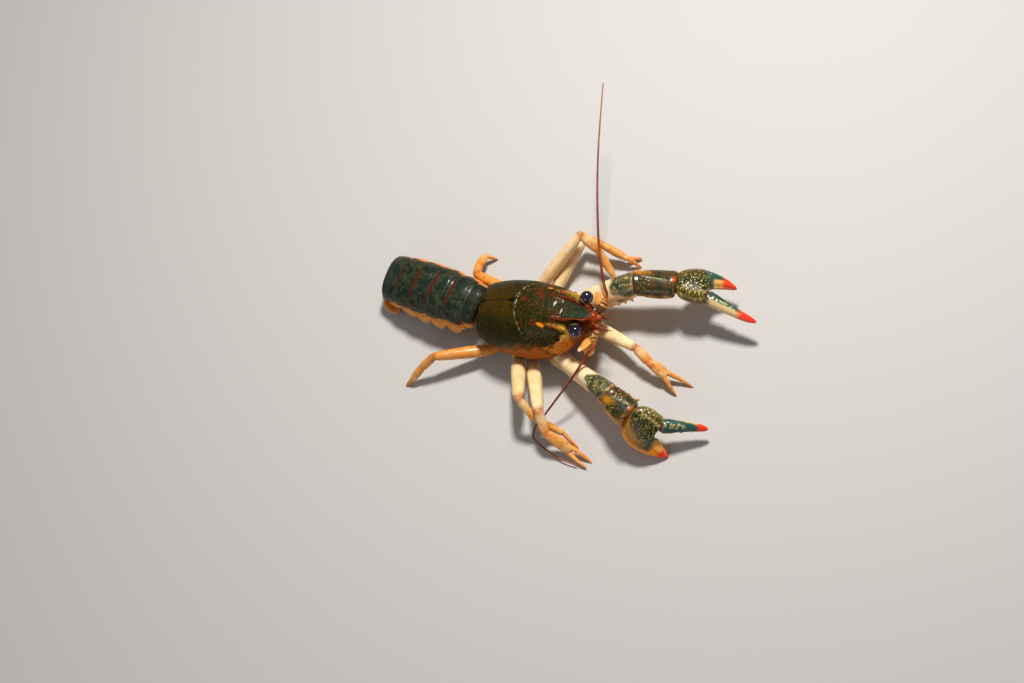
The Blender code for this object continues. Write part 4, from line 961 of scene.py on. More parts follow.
# Arm and wrist: place along, half side, half up, shift to the animal's right
armForm = {
    "base": ((0.0, 1.6, 1.55), (0.12, 1.85, 1.8), (0.45, 2.0, 1.9), (0.85, 2.1, 1.95), (1.0, 2.0, 1.85)),
    "arm": {
        "left": ((0.0, 2.0, 1.85, 0.1), (0.03, 2.25, 2.05, 0.25), (0.14, 2.9, 2.5, 0.7),
                 (0.3, 3.35, 2.9, 0.9),
                 (0.55, 3.5, 3.2, 0.85), (0.82, 3.45, 3.25, 0.7), (0.94, 3.3, 3.0, 0.5),
                 (0.985, 3.15, 2.8, 0.45), (1.0, 2.85, 2.5, 0.4)),
        "right": ((0.0, 2.0, 1.85, 0), (0.03, 2.1, 2.0, 0.05), (0.2, 2.3, 2.6, 0.35),
                  (0.55, 2.5, 3.2, 0.2),
                  (0.82, 2.85, 3.3, 0), (0.94, 2.98, 3.0, 0), (0.985, 2.85, 2.75, 0),
                  (1.0, 2.6, 2.45, 0)),
    },
    "wrist": {
        "left": ((-0.06, 2.3, 2.0, 0.3), (0.0, 2.8, 2.4, 0.3), (0.15, 3.4, 2.8, 0.5),
                 (0.5, 3.8, 3.0, 0.6),
                 (0.8, 3.75, 2.9, 0.6), (0.93, 3.6, 2.75, 0.5), (0.985, 3.35, 2.45, 0.45),
                 (1.0, 3.1, 2.2, 0.4)),
        "right": ((-0.08, 2.1, 1.95, 0), (0.0, 2.6, 2.4, 0), (0.15, 3.3, 2.8, 0.2), (0.5, 3.8, 3.0, 0.4),
                  (0.8, 3.9, 2.9, 0.6), (0.92, 3.85, 2.75, 0.7), (0.985, 3.65, 2.4, 0.8),
                  (1.0, 3.4, 2.15, 0.8)),
    },
    "wider": {"left": 1.5, "right": 0.0},
    "teeth": ((0.22, 1.7, 1.6), (0.34, 1.8, 1.8), (0.46, 1.8, 1.95), (0.58, 1.85, 2.0), (0.7, 1.9, 2.0),
              (0.82, 1.9, 2.0)),
}
clawForm = {
    "voxel": 0.15, "relax": 3,
    # Along, inner edge, outer edge, half thickness, droop
    "palm": {
        "left": ((-0.45, -2.0, 2.1, 1.5, 0), (0.15, -2.8, 2.9, 2.0, 0), (1.2, -3.9, 4.0, 2.4, 0),
                 (3.2, -4.6, 5.0, 2.8, 0),
                 (5.6, -4.8, 5.5, 2.95, 0), (7.4, -4.6, 5.45, 2.75, 0), (8.0, -4.0, 5.4, 2.5, 0),
                 (8.3, -1.0, 5.35, 2.2, -0.03), (8.8, 0.7, 5.3, 2.0, -0.08),
                 (9.6, 1.2, 5.15, 1.85, -0.18),
                 (10.6, 1.5, 5.0, 1.7, -0.3), (12.6, 2.1, 4.5, 1.3, -0.6), (14.2, 2.5, 3.9, 0.85, -0.9),
                 (15.1, 2.75, 3.45, 0.45, -1.05), (15.4, 2.95, 3.2, 0.15, -1.1)),
        "right": ((-0.45, -1.9, 3.1, 1.5, 0), (0.15, -2.6, 4.2, 2.0, 0), (1.2, -3.7, 5.8, 2.4, 0),
                  (3.2, -4.6, 6.8, 2.8, 0),
                  (5.6, -4.8, 7.1, 2.95, 0), (7.4, -4.6, 6.95, 2.75, 0), (8.0, -4.0, 6.8, 2.5, 0),
                  (8.3, -0.8, 6.75, 2.2, -0.03), (8.8, 0.9, 6.6, 2.0, -0.08),
                  (9.6, 1.5, 6.4, 1.85, -0.18),
                  (10.6, 1.8, 6.1, 1.7, -0.3), (12.6, 2.3, 5.3, 1.3, -0.6), (14.1, 2.7, 4.5, 0.85, -0.9),
                  (15.0, 3.0, 3.9, 0.45, -1.05), (15.3, 3.2, 3.6, 0.15, -1.1)),
    },
    "knobs": ((1.9, -3.75), (2.95, -4.15), (4.0, -4.3), (5.05, -4.4), (6.1, -4.35), (7.1, -4.25)),
    "knobRadius": 0.62,
    "scale": {"left": 1.0, "right": 0.95},
    "fingerTip": {"left": (22.2, -6.7, -1.0), "right": (17.6, -9.2, -1.6)},
    "band": {"left": 0.7, "right": 2.3},
    "wartGap": 0.98, "wartRadius": 0.25, "wartHeight": 0.13,
}

armPaint = {
    "colour": (0.9, 0.66, 0.34), "relief": (0.55, 0.35, 0.6, 0.36), "coat": 0.3, "flesh": 0.08,
    "bump": 0.35,
    "layers": (
        ("", "mottle", (3.0, 0.45, 0.65), (0.92, 0.76, 0.52), 0.8),
        ("peach", "mottle", (3.4, 0.36, 0.62), (0.82, 0.36, 0.075), 0.8),
        ("olive", "mottle", (1.5, 0.2, 0.42), (0.06, 0.06, 0.012), 0.95),
        ("olive", "mottle", (1.9, 0.5, 0.6), (0.012, 0.036, 0.024), 0.9),
        ("olive", "mottle", (1.0, 0.57, 0.65), (0.46, 0.46, 0.22), 0.85),
        ("olive", "specks", (0.75, 0.36, 0.5), (0.46, 0.32, 0.05), 0.8),
        ("joint", "mottle", (0.9, 0.4, 0.58), (0.42, 0.13, 0.05), 0.6),
        ("teeth", "", (), (0.82, 0.26, 0.03), 0.9),
    ),
}
wristPaint = {
    "colour": (0.06, 0.026, 0.003), "relief": (0.4, 0.8, 0.5, 0.34), "coat": 0.45, "bump": 0.8,
    "shine": 0.22,
    "layers": (
        ("", "mottle", (2.0, 0.42, 0.58), (0.014, 0.022, 0.006), 0.9),
        ("", "mottle", (1.1, 0.5, 0.6), (0.12, 0.058, 0.004), 0.85),
        ("teal", "mottle", (1.4, 0.44, 0.62), (0.01, 0.038, 0.026), 0.75),
        ("", "specks", (0.5, 0.34, 0.45), (0.22, 0.17, 0.02), 0.7),
        ("knobs", "", (), (0.3, 0.22, 0.03), 0.9),
        ("bright", "mottle", (1.5, 0.25, 0.48), (0.56, 0.2, 0.008), 0.9),
        # Painted highlight: a pale teal-grey line along the edge of the furrow
        ("furrow", "mottle", (0.9, 0.3, 0.48), (0.36, 0.4, 0.24), 1.0),
        ("lowSide", "mottle", (1.8, 0.2, 0.45), (0.72, 0.27, 0.03), 1.0),
        ("lowSide", "mottle", (1.1, 0.52, 0.62), (0.16, 0.14, 0.015), 0.85),
        ("rim", "mottle", (0.8, 0.44, 0.58), (0.46, 0.15, 0.04), 0.6),
        ("joint", "", (), (0.8, 0.08, 0.006), 0.95),
        ("teeth", "", (), (0.8, 0.34, 0.05), 1.0),
    ),
}
palmPaint = {
    "colour": (0.022, 0.022, 0.003), "relief": (0.4, 0.8, 0.5, 0.34), "coat": 0.45, "bump": 0.7,
    "shine": 0.22,
    "layers": (
        ("", "mottle", (2.0, 0.44, 0.62), (0.066, 0.046, 0.004), 1.0),
        ("", "mottle", (1.3, 0.48, 0.6), (0.01, 0.022, 0.006), 0.9),
        ("", "specks", (0.45, 0.3, 0.45), (0.16, 0.14, 0.02), 0.4),
        ("under", "mottle", (2.0, 0.2, 0.5), (0.6, 0.28, 0.05), 1.0),
        ("glow", "mottle", (1.9, 0.3, 0.55), (0.44, 0.17, 0.006), 0.85),
        ("teal", "mottle", (1.7, 0.2, 0.45), (0.03, 0.1, 0.064), 0.9),
        ("inner", "mottle", (1.4, 0.35, 0.6), (0.24, 0.13, 0.016), 0.55),
        ("margin", "mottle", (2.4, 0.08, 0.28), (0.88, 0.27, 0.008), 1.0),
        ("outerEdge", "mottle", (1.4, 0.25, 0.5), (0.86, 0.46, 0.14), 0.8),
        ("pale", "mottle", (1.6, 0.15, 0.4), (0.82, 0.46, 0.12), 1.0),
        ("redTip", "", (), (0.9, 0.045, 0.004), 0.97),
        ("knobs", "mottle", (1.4, 0.3, 0.55), (0.46, 0.38, 0.075), 0.92),
        ("bigKnobs", "", (), (0.74, 0.54, 0.17), 0.9),
    ),
}
fingerPaint = {
    "colour": (0.008, 0.075, 0.06), "relief": (0.42, 0.4, 0.5, 0.26), "coat": 0.7, "bump": 0.45,
    "layers": (
        ("", "mottle", (1.6, 0.44, 0.62), (0.05, 0.135, 0.095), 0.8),
        # Near-black in the furrows and on the side towards the fixed finger: the finger's own dark lines and
        # painted shade in the furrows and the gap
        ("dark", "mottle", (1.8, 0.15, 0.4), (0.006, 0.014, 0.008), 0.92),
        ("", "specks", (0.8, 0.3, 0.3), (0.42, 0.44, 0.2), 0.6),
        ("pale", "mottle", (1.8, 0.12, 0.38), (0.66, 0.48, 0.19), 1.0),
        ("root", "mottle", (1.2, 0.2, 0.45), (0.17, 0.05, 0.01), 0.9),
        ("redTip", "", (), (0.9, 0.03, 0.004), 0.97),
        ("knobs", "", (), (0.78, 0.58, 0.22), 0.85),
    ),
}
armMaterial, wristMaterial = shellMaterial("creamArm", armPaint), shellMaterial("oliveWrist", wristPaint)
palmMaterial, fingerMaterial = shellMaterial("olivePalm", palmPaint), shellMaterial("tealFinger",
        fingerPaint)
chance = np.random.default_rng(11)


def wartField(run, sideways, runSpan, sideSpan, gap, radius, draw):
    # Low rounded warts in uneven rows, larger towards the inner side: their height and their colour spots
    bumps, spots = np.zeros(len(run)), np.zeros(len(run))
    for row in range(int((runSpan[1] - runSpan[0]) / (gap * 0.8)) + 1):
        for k in range(int((sideSpan[1] - sideSpan[0]) / gap) + 1):
            a = runSpan[0] + gap * 0.8 * row + draw.uniform(-0.3, 0.3)
            b = sideSpan[0] + gap * (k + 0.5 * (row % 2)) + draw.uniform(-0.3, 0.3)
            size = radius * (1.2 - 0.05 * k) * draw.uniform(0.6, 1.15)
            square = (run - a) ** 2 + (sideways - b) ** 2
            spots = np.maximum(spots, fade(1.15, 0.6, np.sqrt(square) / size))
            bumps = np.maximum(bumps, np.exp(-square / size ** 2))
    return bumps, spots


for sideName, side in (("left", 1), ("right", -1)):
    label = sideName.title()
    root = legRoot(1, side)
    baseEnd, armEnd, wrist = (Vector(p) for p in armJoints[sideName])
    way = (baseEnd - root).normalized()
    start = root + way * 0.9
    across = sideOf((root, wrist))
    armWay, wristWay = (armEnd - baseEnd).normalized(), (wrist - armEnd).normalized()
    palmWay = Vector(clawWays[sideName][0]).normalized()
    out = squareTo(clawWays[sideName][1], palmWay)
    normal = upright(palmWay, out)
    planes = (way + armWay, armWay + wristWay, wristWay + palmWay)

    # Root, base and arm, one skin
    meshes = [rootKnuckle(root, way, across, legRoots[1][3], side, 28), bead(start, 1.45)]
    meshes.append(tube(limbRings((start, baseEnd), armForm["base"], across, endPlane=planes[0], count=32),
                       5))
    meshes.append(tube(limbRings((baseEnd, armEnd), armForm["arm"][sideName], across, planes[0],
                                 planes[1], 36), 5))
    armSide = squareTo(across, armWay)
    armUp = upright(armSide, armWay)
    inward = -armSide if armSide.y * side > 0 else armSide
    teeth = []
    for along, halfSide, halfUp in armForm["teeth"]:
        foot = baseEnd.lerp(armEnd, along) + inward * (halfSide
                                                       + armForm["wider"][sideName]) - armUp * halfUp
        meshes.append(thorn(foot, inward * 0.8 - armUp * 0.6 + armWay * 0.5, 0.95, 0.42))
        teeth.append(foot + (inward * 0.8 - armUp * 0.6) * 0.6)
    foot = baseEnd.lerp(armEnd, 0.84) + armUp * 3.0 + inward * 0.6
    meshes.append(thorn(foot, armUp * 0.7 + armWay * 0.8, 1.3, 0.5))
    meshes.append(bead(armEnd, 1.9))
    data = skin(meshes, clawForm["voxel"], clawForm["relax"])
    points = pointsOf(data)
    offset = points - np.array(baseEnd)
    length = (armEnd - baseEnd).length
    run = offset @ np.array(armWay) / length
    rise = (offset @ np.array(armUp)) / 3.3
    edge = 0.06 * ripple(points, 2.5, 6)
    paint(data, olive=fade(0.7, 0.8, run + 0.1 * rise + edge) * fade(-0.15, 0.3, rise + edge * 3),
          peach=fade(0.15, 0.65, run) * fade(0.9, 0.0, rise), joint=bell(run, 1.0, 0.035),
          teeth=sum(near(points, t, 0.7) for t in teeth))
    place("clawArm" + label, data, armMaterial, "arm",
          ("cheliped_base_" + sideName, "cheliped_arm_" + sideName))

    # Wrist
    meshes = [tube(limbRings((armEnd, wrist), armForm["wrist"][sideName], across, planes[1], planes[2],
                             36), 5)]
    teeth = []
    for along, halfSide, size in ((0.72, 2.9, 1.7), (0.4, 3.0, 0.9)):
        foot = armEnd.lerp(wrist, along) + inward * halfSide
        meshes.append(thorn(foot, inward + wristWay * 0.75, size, 0.6))
        teeth.append(foot + inward * size * 0.6)
    data = skin(meshes, clawForm["voxel"], clawForm["relax"])
    points, normals = pointsOf(data), normalsOf(data)
    offset = points - np.array(armEnd)
    length = (wrist - armEnd).length
    run = offset @ np.array(wristWay) / length
    wristSide = squareTo(across, wristWay)
    wristUp = upright(wristSide, wristWay)
    sideways = offset @ np.array(wristSide) * (1 if wristSide.dot(inward) > 0 else -1)
    rise = offset @ np.array(wristUp)
    slant = sideways + 0.2 - 1.6 * (run - 0.5)
    furrow = (bell(slant, 0, 0.34) * fade(0.08, 0.25, run) * fade(0.9, 0.75, run)
              * fade(0.0, 1.2, rise))
    warts, spots = wartField(run * length, sideways, (0.5, 4.0), (-3.6, 3.6), 1.0, 0.26, chance)
    onTop = fade(-0.2, 0.8, rise) * (1 - furrow) * fade(0.05, 0.15, run) * fade(0.97, 0.9, run)
    movePoints(data, points + normals * (0.11 * warts * onTop - 0.32 * furrow)[:, None])
    paint(data, knobs=spots * onTop * (0.5 if side > 0 else 0.8))
    edge = 0.4 * ripple(points, 2.4, 8)
    tilt = 0.0 if side > 0 else 0.42 * sideways
    paint(data,
          # furrow: the pale line painted here is a painted highlight along the furrow's edge
          furrow=bell(slant, 0.42, 0.22) * fade(0.1, 0.3, run) * fade(0.88, 0.7, run)
          * fade(0.0, 1.2, rise),
          bright=fade(1.6, 0.2, np.abs(slant + 1.0)) * fade(0.5, 0.15, run) * fade(0.5, 1.5, rise),
          teal=fade(0.5, 0.8, run), lowSide=fade(0.5, -0.8, rise + tilt + edge),
          rim=fade(0.93, 0.98, run) * fade(-2.5, -1.0, rise),
          joint=fade(0.9, 0.98, run) * bell(sideways, 0.4, 0.6) * (rise > 0) * (1.0 if side > 0 else 0.5),
          teeth=sum(near(points, t, 0.9) for t in teeth))
    place("wrist" + label, data, wristMaterial, "wrist", ("cheliped_wrist_" + sideName,))

    # Palm with its fixed finger
    scale = clawForm["scale"][sideName]
    table = clawForm["palm"][sideName]
    rings = []
    for along, innerEdge, outerEdge, thick, droop in table:
        centre = wrist + palmWay * along * scale + out * (innerEdge
                                                          + outerEdge) / 2 * scale + normal * droop * scale
        ring = oval(centre, out, normal, (outerEdge - innerEdge) / 2 * scale, thick * scale, 48, 2.4)
        if along < 3:
            share = 1.0 if along < 1 else 0.55
            for k, point in enumerate(ring):
                offset = point - wrist - palmWay * along * scale
                ring[k] = point - palmWay * (share * offset.dot(planes[2]) / palmWay.dot(planes[2]))
        rings.append(ring)
    meshes = [tube(rings, 5), bead(wrist + palmWay * 0.2, 1.9)]
    knobs = []
    for along, innerEdge in clawForm["knobs"]:
        foot = wrist + palmWay * along * scale + out * innerEdge * scale + normal * 0.5
        meshes.append(bead(foot, clawForm["knobRadius"]))
        knobs.append((foot, 0.55))
        foot = foot + out * 1.25 + normal * 1.25
        meshes.append(bead(foot + palmWay * 0.35, clawForm["knobRadius"] * 0.9))
        knobs.append((foot + palmWay * 0.35 + normal * 0.3, 0.45))
    for k in range(6):    # blunt teeth on the biting edge of the fixed finger
        t = k / 5.5
        foot = (wrist + palmWay * (9.9 + 4.2 * t) * scale + out * (1.45 + 1.15 * t) * scale
                + normal * (-0.25 - 0.65 * t) * scale)
        meshes.append(bead(foot, (0.55, 0.42, 0.58, 0.38, 0.34, 0.28)[k]))
        knobs.append((foot, 0.42))
    data = skin(meshes, clawForm["voxel"], clawForm["relax"])
    points, normals = pointsOf(data), normalsOf(data)
    offset = points - np.array(wrist)
    run = offset @ np.array(palmWay) / scale
    sideways = offset @ np.array(out) / scale
    rise = offset @ np.array(normal) / scale
    innerLine = curveValues([(row[0], row[1]) for row in table], run)
    outerLine = curveValues([(row[0], row[2]) for row in table], run)
    bumps, spots = wartField(run, sideways, (0.8, 8.6), (-4.6, 7.2), clawForm["wartGap"],
                             clawForm["wartRadius"], chance)
    onPalm = fade(outerLine - clawForm["band"][sideName], outerLine - clawForm["band"][sideName] - 0.9,
                  sideways)
    onPalm = onPalm * fade(9.0, 8.2, run) * fade(0.3, 0.9, run)
    top = fade(-0.4, 0.4, rise)
    ribs = (bell(sideways, (innerLine + outerLine) / 2, 0.26) * fade(8.8, 10.0, run)
            * fade(14.6, 13.6, run) * fade(0.0, 0.6, rise))
    lift1 = clawForm["wartHeight"] * bumps * onPalm * (0.35 + 0.65 * top) - 0.18 * ribs
    movePoints(data, points + normals * lift1[:, None])
    edge = 0.35 * ripple(points, 2.2, 9)
    band = clawForm["band"][sideName]
    redStart = 10.7 if side > 0 else 11.9
    paint(data,
          margin=np.maximum(fade(outerLine - band, outerLine - band * 0.45, sideways + edge)
                            * fade(0.3, 1.2, run), fade(8.8, 10.5, run + edge)
                            * (0.0 if side > 0 else 1.0)),
          glow=fade(3.2 + band, 0.6 + band, outerLine - sideways) * fade(9.5, 7.5, run)
          * (0.25 if side > 0 else 1.0),
          teal=fade(6.6, 8.2, run + 0.4 * (sideways - 2.0)) * fade(12.6, 11.2, run)
          * (1.0 if side > 0 else 0.5) * top,
          inner=fade(1.8, 0.2, sideways - innerLine) * fade(9.0, 8.2, run),
          pale=fade(1.5, 0.9, sideways - innerLine) * fade(8.8, 9.8, run) * (1.0 if side > 0 else 0.4),
          under=fade(-0.2, -1.3, rise) * fade(9.5, 8.5, run),
          redTip=fade(redStart, redStart + 1.5, run + 0.5 * edge),
          outerEdge=fade(0.7, 0.2, outerLine - sideways) * fade(0.6, 2.0, run) * fade(9.5, 7.5, run)
          * (1.0 if side > 0 else 0.0),
          knobs=spots * onPalm * (0.25 + 0.75 * top) * (1.0 if side > 0 else 0.75),
          bigKnobs=sum(near(points, k, r * 0.8) for k, r in knobs))
    place("claw" + label, data, palmMaterial, "claw", ("claw_" + sideName,))

    # Movable finger
    along, lateral, droop = clawForm["fingerTip"][sideName]
    hinge, tip = Vector((8.0 * scale, -2.4 * scale, 0.0)), Vector((along, lateral, droop))
    finger, sizes = [], []
    for t, bow, half, thick in ((0.0, 0.0, 1.2, 1.1), (0.03, 0.03, 1.7, 1.5), (0.12, 0.15, 1.88, 1.62),
                                (0.35, 0.35, 1.58, 1.42), (0.6, 0.4, 1.25, 1.15), (0.8, 0.3, 1.0, 0.9),
                                (0.93, 0.12, 0.66, 0.58), (0.98, 0.04, 0.36, 0.32),
                                (1.0, 0.0, 0.16, 0.14)):
        spot = hinge.lerp(tip, t)
        finger.append(wrist + palmWay * spot.x + out * (spot.y - bow) + normal * spot.z)
        sizes.append((half, thick))
    meshes = [tube(pathRings(finger, out, sizes, 32, 2.2, first=palmWay), 5)]
    knobs = []
    fingerWay = (finger[-1] - finger[0]).normalized()
    fingerIn = squareTo(out, fingerWay)
    for k in range(7):    # blunt teeth facing the fixed finger
        t = 0.24 + 0.62 * k / 6
        spot = finger[0].lerp(finger[-1], t)
        half = curveValue(((0.12, 1.7), (0.35, 1.15), (0.6, 0.82), (0.8, 0.66), (1.0, 0.1)), t)
        foot = spot + fingerIn * half
        meshes.append(bead(foot, (0.5, 0.38, 0.56, 0.36, 0.42, 0.3, 0.28)[k]))
        knobs.append(foot)
    data = skin(meshes, clawForm["voxel"], clawForm["relax"])
    points, normals = pointsOf(data), normalsOf(data)
    offset = points - np.array(finger[0])
    run = offset @ np.array(fingerWay) / (finger[-1] - finger[0]).length
    sideways = offset @ np.array(fingerIn)
    rise = offset @ np.array(normal)
    sideways = sideways / np.maximum(1.9 - 1.3 * run, 0.5)
    furrows = sum(bell(sideways, place, 0.1) for place in (0.28, -0.42))
    furrows = furrows * fade(0.1, 0.2, run) * fade(0.92, 0.8, run) * fade(0.1, 0.5, rise)
    bumps = np.zeros(len(points))
    for k in range(14):
        a, b = 0.08 + 0.5 * chance.random(), -0.85 + 0.6 * chance.random()
        bumps = np.maximum(bumps, np.exp(-((run - a) / 0.022) ** 2 - ((sideways - b) / 0.17) ** 2)
                           * (rise > 0))
    movePoints(data, points + normals * (0.12 * bumps - 0.13 * furrows)[:, None])
    # dark: the finger's own dark lines, with painted shade in its furrows and along the gap to the fixed finger
    paint(data, dark=np.maximum(furrows, fade(0.35, 0.75, sideways) * (rise > -0.3)))
    paleEdge = -0.62 if side > 0 else -1.35
    paint(data,
          pale=np.maximum(fade(paleEdge, paleEdge - 0.2, sideways + 0.1 * ripple(points, 2.0, 12))
                          * fade(0.06, 0.16, run) * (1.0 if side > 0 else 0.7), fade(-0.3, -0.8, rise)),
          root=fade(0.1, 0.03, run),
          redTip=fade(*((0.6, 0.72) if side > 0 else (0.72, 0.82)), run + 0.03 * ripple(points, 1.2, 13)),
          knobs=np.maximum(0.8 * bumps, sum(near(points, k, 0.45) for k in knobs)))
    place("clawFinger" + label, data, fingerMaterial, "finger", ("claw_finger_" + sideName,))
print("claws are done")


# Abdomen

abdomen = {
    "voxel": 0.17, "relax": 3,
    "line": ((-1.5, 0.1, 13.3), (-4.5, 0.7, 13.6), (-10.1, 1.7, 13.8), (-15.8, 2.8, 13.5),
             (-21.4, 3.9, 12.7),
             (-26.8, 5.0, 11.2), (-31.8, 6.1, 8.6)),
    "halfWidth": (6.4, 7.5, 7.9, 7.9, 7.7, 7.1), "height": (7.2, 9.9, 10.2, 10.0, 9.4, 7.0),
    "roll": 4.0, "flare": 0.17, "swimmeret": (0.0, 4.4, 4.4, 4.2, 3.8, 0.0),
    # Place along a ring, swell, how far the side lobe hangs
    "stations": ((-0.13, 0.93, 0.02), (-0.04, 0.945, 0.05), (0.04, 0.965, 0.12), (0.13, 0.992, 0.38),
                 (0.28, 1.003, 0.8),
                 (0.45, 1.01, 0.97), (0.62, 1.012, 1.0), (0.78, 1.01, 0.88), (0.9, 1.006, 0.62),
                 (0.98, 1.0, 0.32),
                 (1.03, 0.99, 0.1), (1.045, 0.975, 0.04)),
}


def ringFrame(i):
    # Way, side and up of ring i, leaning a little with the roll
    way = (Vector(abdomen["line"][i + 1]) - Vector(abdomen["line"][i])).normalized()
    roll = math.radians(abdomen["roll"])
    side = squareTo((0, math.cos(roll), math.sin(roll)), way)
    return way, side, upright(way, side)


def archSection(half, tall, lobe):
    # Section of a ring as (across, down) pairs: outer chain left to right, inner chain back
    rib, depth = 0.93 * half, 0.6 * tall
    right = []
    for angle in (7, 14, 22, 30, 38, 46, 54, 62, 70, 77, 84):
        a = math.radians(angle)
        right.append((rib * math.sin(a) ** (2 / 2.5), depth * (1 - math.cos(a) ** (2 / 2.5))))
    tip = tall * (0.66 + 0.34 * lobe)
    flare = abdomen["flare"] * (tip - depth)
    right += [(rib + f * flare, depth + g * (tip - depth)) for f,
              g in ((0.25, 0.25), (0.55, 0.5), (0.85, 0.78),
                                                                       (0.97, 0.94), (0.93, 1.0))]
    outer = [(-a, d) for a, d in reversed(right)] + [(0.0, 0.0)] + right
    under = depth + min(1.3, 0.75 * (tip - depth))
    innerRight = [(rib * f, under - 0.25 * f * (under - depth))
                  for f in (0.1, 0.2, 0.3, 0.4, 0.5, 0.6, 0.7, 0.78)]
    innerRight += [(rib + f * flare - g, max(depth + h * (tip - depth), under + 0.05)) for f, g, h in
                   ((0.2, 1.15, 0.3), (0.4, 1.1, 0.4), (0.55, 1.0, 0.5), (0.7, 0.9, 0.62),
                    (0.8, 0.8, 0.75),
                    (0.88, 0.7, 0.88), (0.9, 0.6, 0.96), (0.91, 0.3, 0.99))]
    inner = [(-a, d) for a, d in reversed(innerRight)] + [(0.0, under)] + innerRight
    return outer, list(reversed(inner))


tailPaint = {
    "colour": (0.009, 0.02, 0.013), "relief": (0.38, 0.8, 0.5, 0.38), "coat": 0.28, "bump": 0.8,
    "shine": 0.12,
    "layers": (
        ("", "mottle", (1.8, 0.42, 0.6), (0.036, 0.042, 0.019), 1.0),
        ("", "mottle", (1.0, 0.52, 0.64), (0.003, 0.007, 0.004), 0.85),
        ("", "specks", (0.6, 0.3, 0.4), (0.075, 0.1, 0.045), 0.6),
        # Painted shade: the first ring is darker all over, as it lies in shade at the carapace's rear edge
        ("first", "mottle", (1.4, 0.3, 0.6), (0.01, 0.012, 0.007), 0.8),
        ("flank", "mottle", (1.6, 0.35, 0.6), (0.07, 0.048, 0.01), 0.6),
        ("band", "mottle", (1.8, 0.24, 0.42), (0.078, 0.011, 0.002), 0.9),
        ("bandSide", "mottle", (1.2, 0.4, 0.6), (0.28, 0.07, 0.008), 0.7),
        ("lobe", "mottle", (1.8, 0.05, 0.3), (0.74, 0.22, 0.018), 1.0),
        ("lobe", "mottle", (1.0, 0.5, 0.62), (0.5, 0.1, 0.01), 0.7),
        ("lobeEdge", "mottle", (1.4, 0.25, 0.5), (0.78, 0.36, 0.075), 0.85),
        ("belly", "", (), (0.6, 0.34, 0.12), 1.0),
    ),
}
tailMaterial = shellMaterial("tealRing", tailPaint)


for i in range(6):
    way, side, up = ringFrame(i)
    start, end = Vector(abdomen["line"][i]), Vector(abdomen["line"][i + 1])
    first = way if i == 0 else (ringFrame(i - 1)[0] + way).normalized()
    final = way if i == 5 else (ringFrame(i + 1)[0] + way).normalized()
    length = (end - start).length
    tall = abdomen["height"][i]
    rings = []
    for t, swell, lobe in abdomen["stations"]:
        outer, inner = archSection(abdomen["halfWidth"][i] * swell, tall, lobe if i else 0.3 * lobe)
        ring = []
        for across, down in outer + inner:
            offset = side * across - up * (down + (1 - swell) * 6)
            ring.append(start + way * (t * length + slideFor(offset, t, way, first, final)) + offset)
        rings.append(ring)
    arch = growTube(finerRings(rings, 2), False)
    ends = bmesh.ops.holes_fill(arch, edges=[e for e in arch.edges if e.is_boundary], sides=0)["faces"]
    bmesh.ops.triangulate(arch, faces=ends)
    bmesh.ops.recalc_face_normals(arch, faces=arch.faces)
    meshes = [arch]
    if 1 <= i <= 4:
        middle = start.lerp(end, 0.5)
        for hand in (1, -1):
            foot = middle + side * hand * 2.9 - up * (0.6 * tall + 0.8)
            hang = (up * -1.0 + way * 0.55 + side * hand * 0.12).normalized()
            reach = abdomen["swimmeret"][i]
            for split, lean in ((1.0, 0.16), (0.86, -0.2)):
                spread = (hang + side * hand * lean).normalized()
                points = [foot, foot + hang * 1.4, foot + hang * 1.4 + spread * (reach * split - 1.4)
                          * 0.5,
                          foot + hang * 1.4 + spread * (reach * split - 1.4)]
                meshes.append(tube(pathRings(points, side, (0.5, (0.62, 0.42), (0.6, 0.36), (0.22, 0.2)),
                                             14), 4))
    data = skin(meshes, abdomen["voxel"], abdomen["relax"])
    points, normals = pointsOf(data), normalsOf(data)
    offset = points - np.array(start)
    run = offset @ np.array(way) / length
    sideways = offset @ np.array(side) / abdomen["halfWidth"][i]
    down = -(offset @ np.array(up)) / tall
    top = fade(-0.1, 0.3, normals @ np.array(up))
    facing = fade(-0.55, -0.2, normals @ np.array(up))
    crease = bell(run, 0.22, 0.05) * top * fade(1.0, 0.8, np.abs(sideways))
    lip = bell(run, 0.93, 0.045) * facing
    hollow = bell(down, 0.6, 0.05) * facing
    points = points - normals * (0.14 * crease - 0.05 * lip + 0.12 * hollow)[:, None]
    movePoints(data, points)
    belly = fade(0.62, 0.75, down) * fade(-0.1, -0.5, normals @ np.array(up))
    inside = fade(0.8, 0.72, np.abs(sideways)) * fade(0.5, 0.62, down)
    strip = top * (0.0 if i in (0, 5) else 1.0)
    bandEdge = 0.815 + 0.09 * fade(0.2, 0.7, np.abs(sideways)) + 0.02 * ripple(points, 1.6, 20 + i)
    strip = strip * fade(bandEdge, bandEdge + 0.06, run)
    paint(data, band=strip * fade(0.8, 0.45, np.abs(sideways)) * (0.55 if i == 4 else 1.0),
          bandSide=strip * fade(0.62, 0.85, np.abs(sideways)) * 0.7,
          # first: the whole first ring gets the painted shade of the carapace's rear edge
          first=np.full(len(points), 1.0 if i == 0 else 0.0),
          flank=fade(0.62, 0.95, np.abs(sideways)) * facing)
    lobeStart = (0.38, 0.39, 0.39, 0.39, 0.39, 0.44)[i] - np.where(sideways > 0, 0.17, 0.0)
    wander = 0.03 * ripple(points, 2.6, 30 + i)
    paint(data, lobe=fade(lobeStart, lobeStart + 0.05, down + wander),
          lobeEdge=fade(lobeStart + 0.16, lobeStart + 0.3, down + wander),
          belly=np.maximum(belly, inside))
    place("tailRing%d" % (i + 1), data, tailMaterial, "tail_shell", ("pleonite_%d" % (i + 1),))

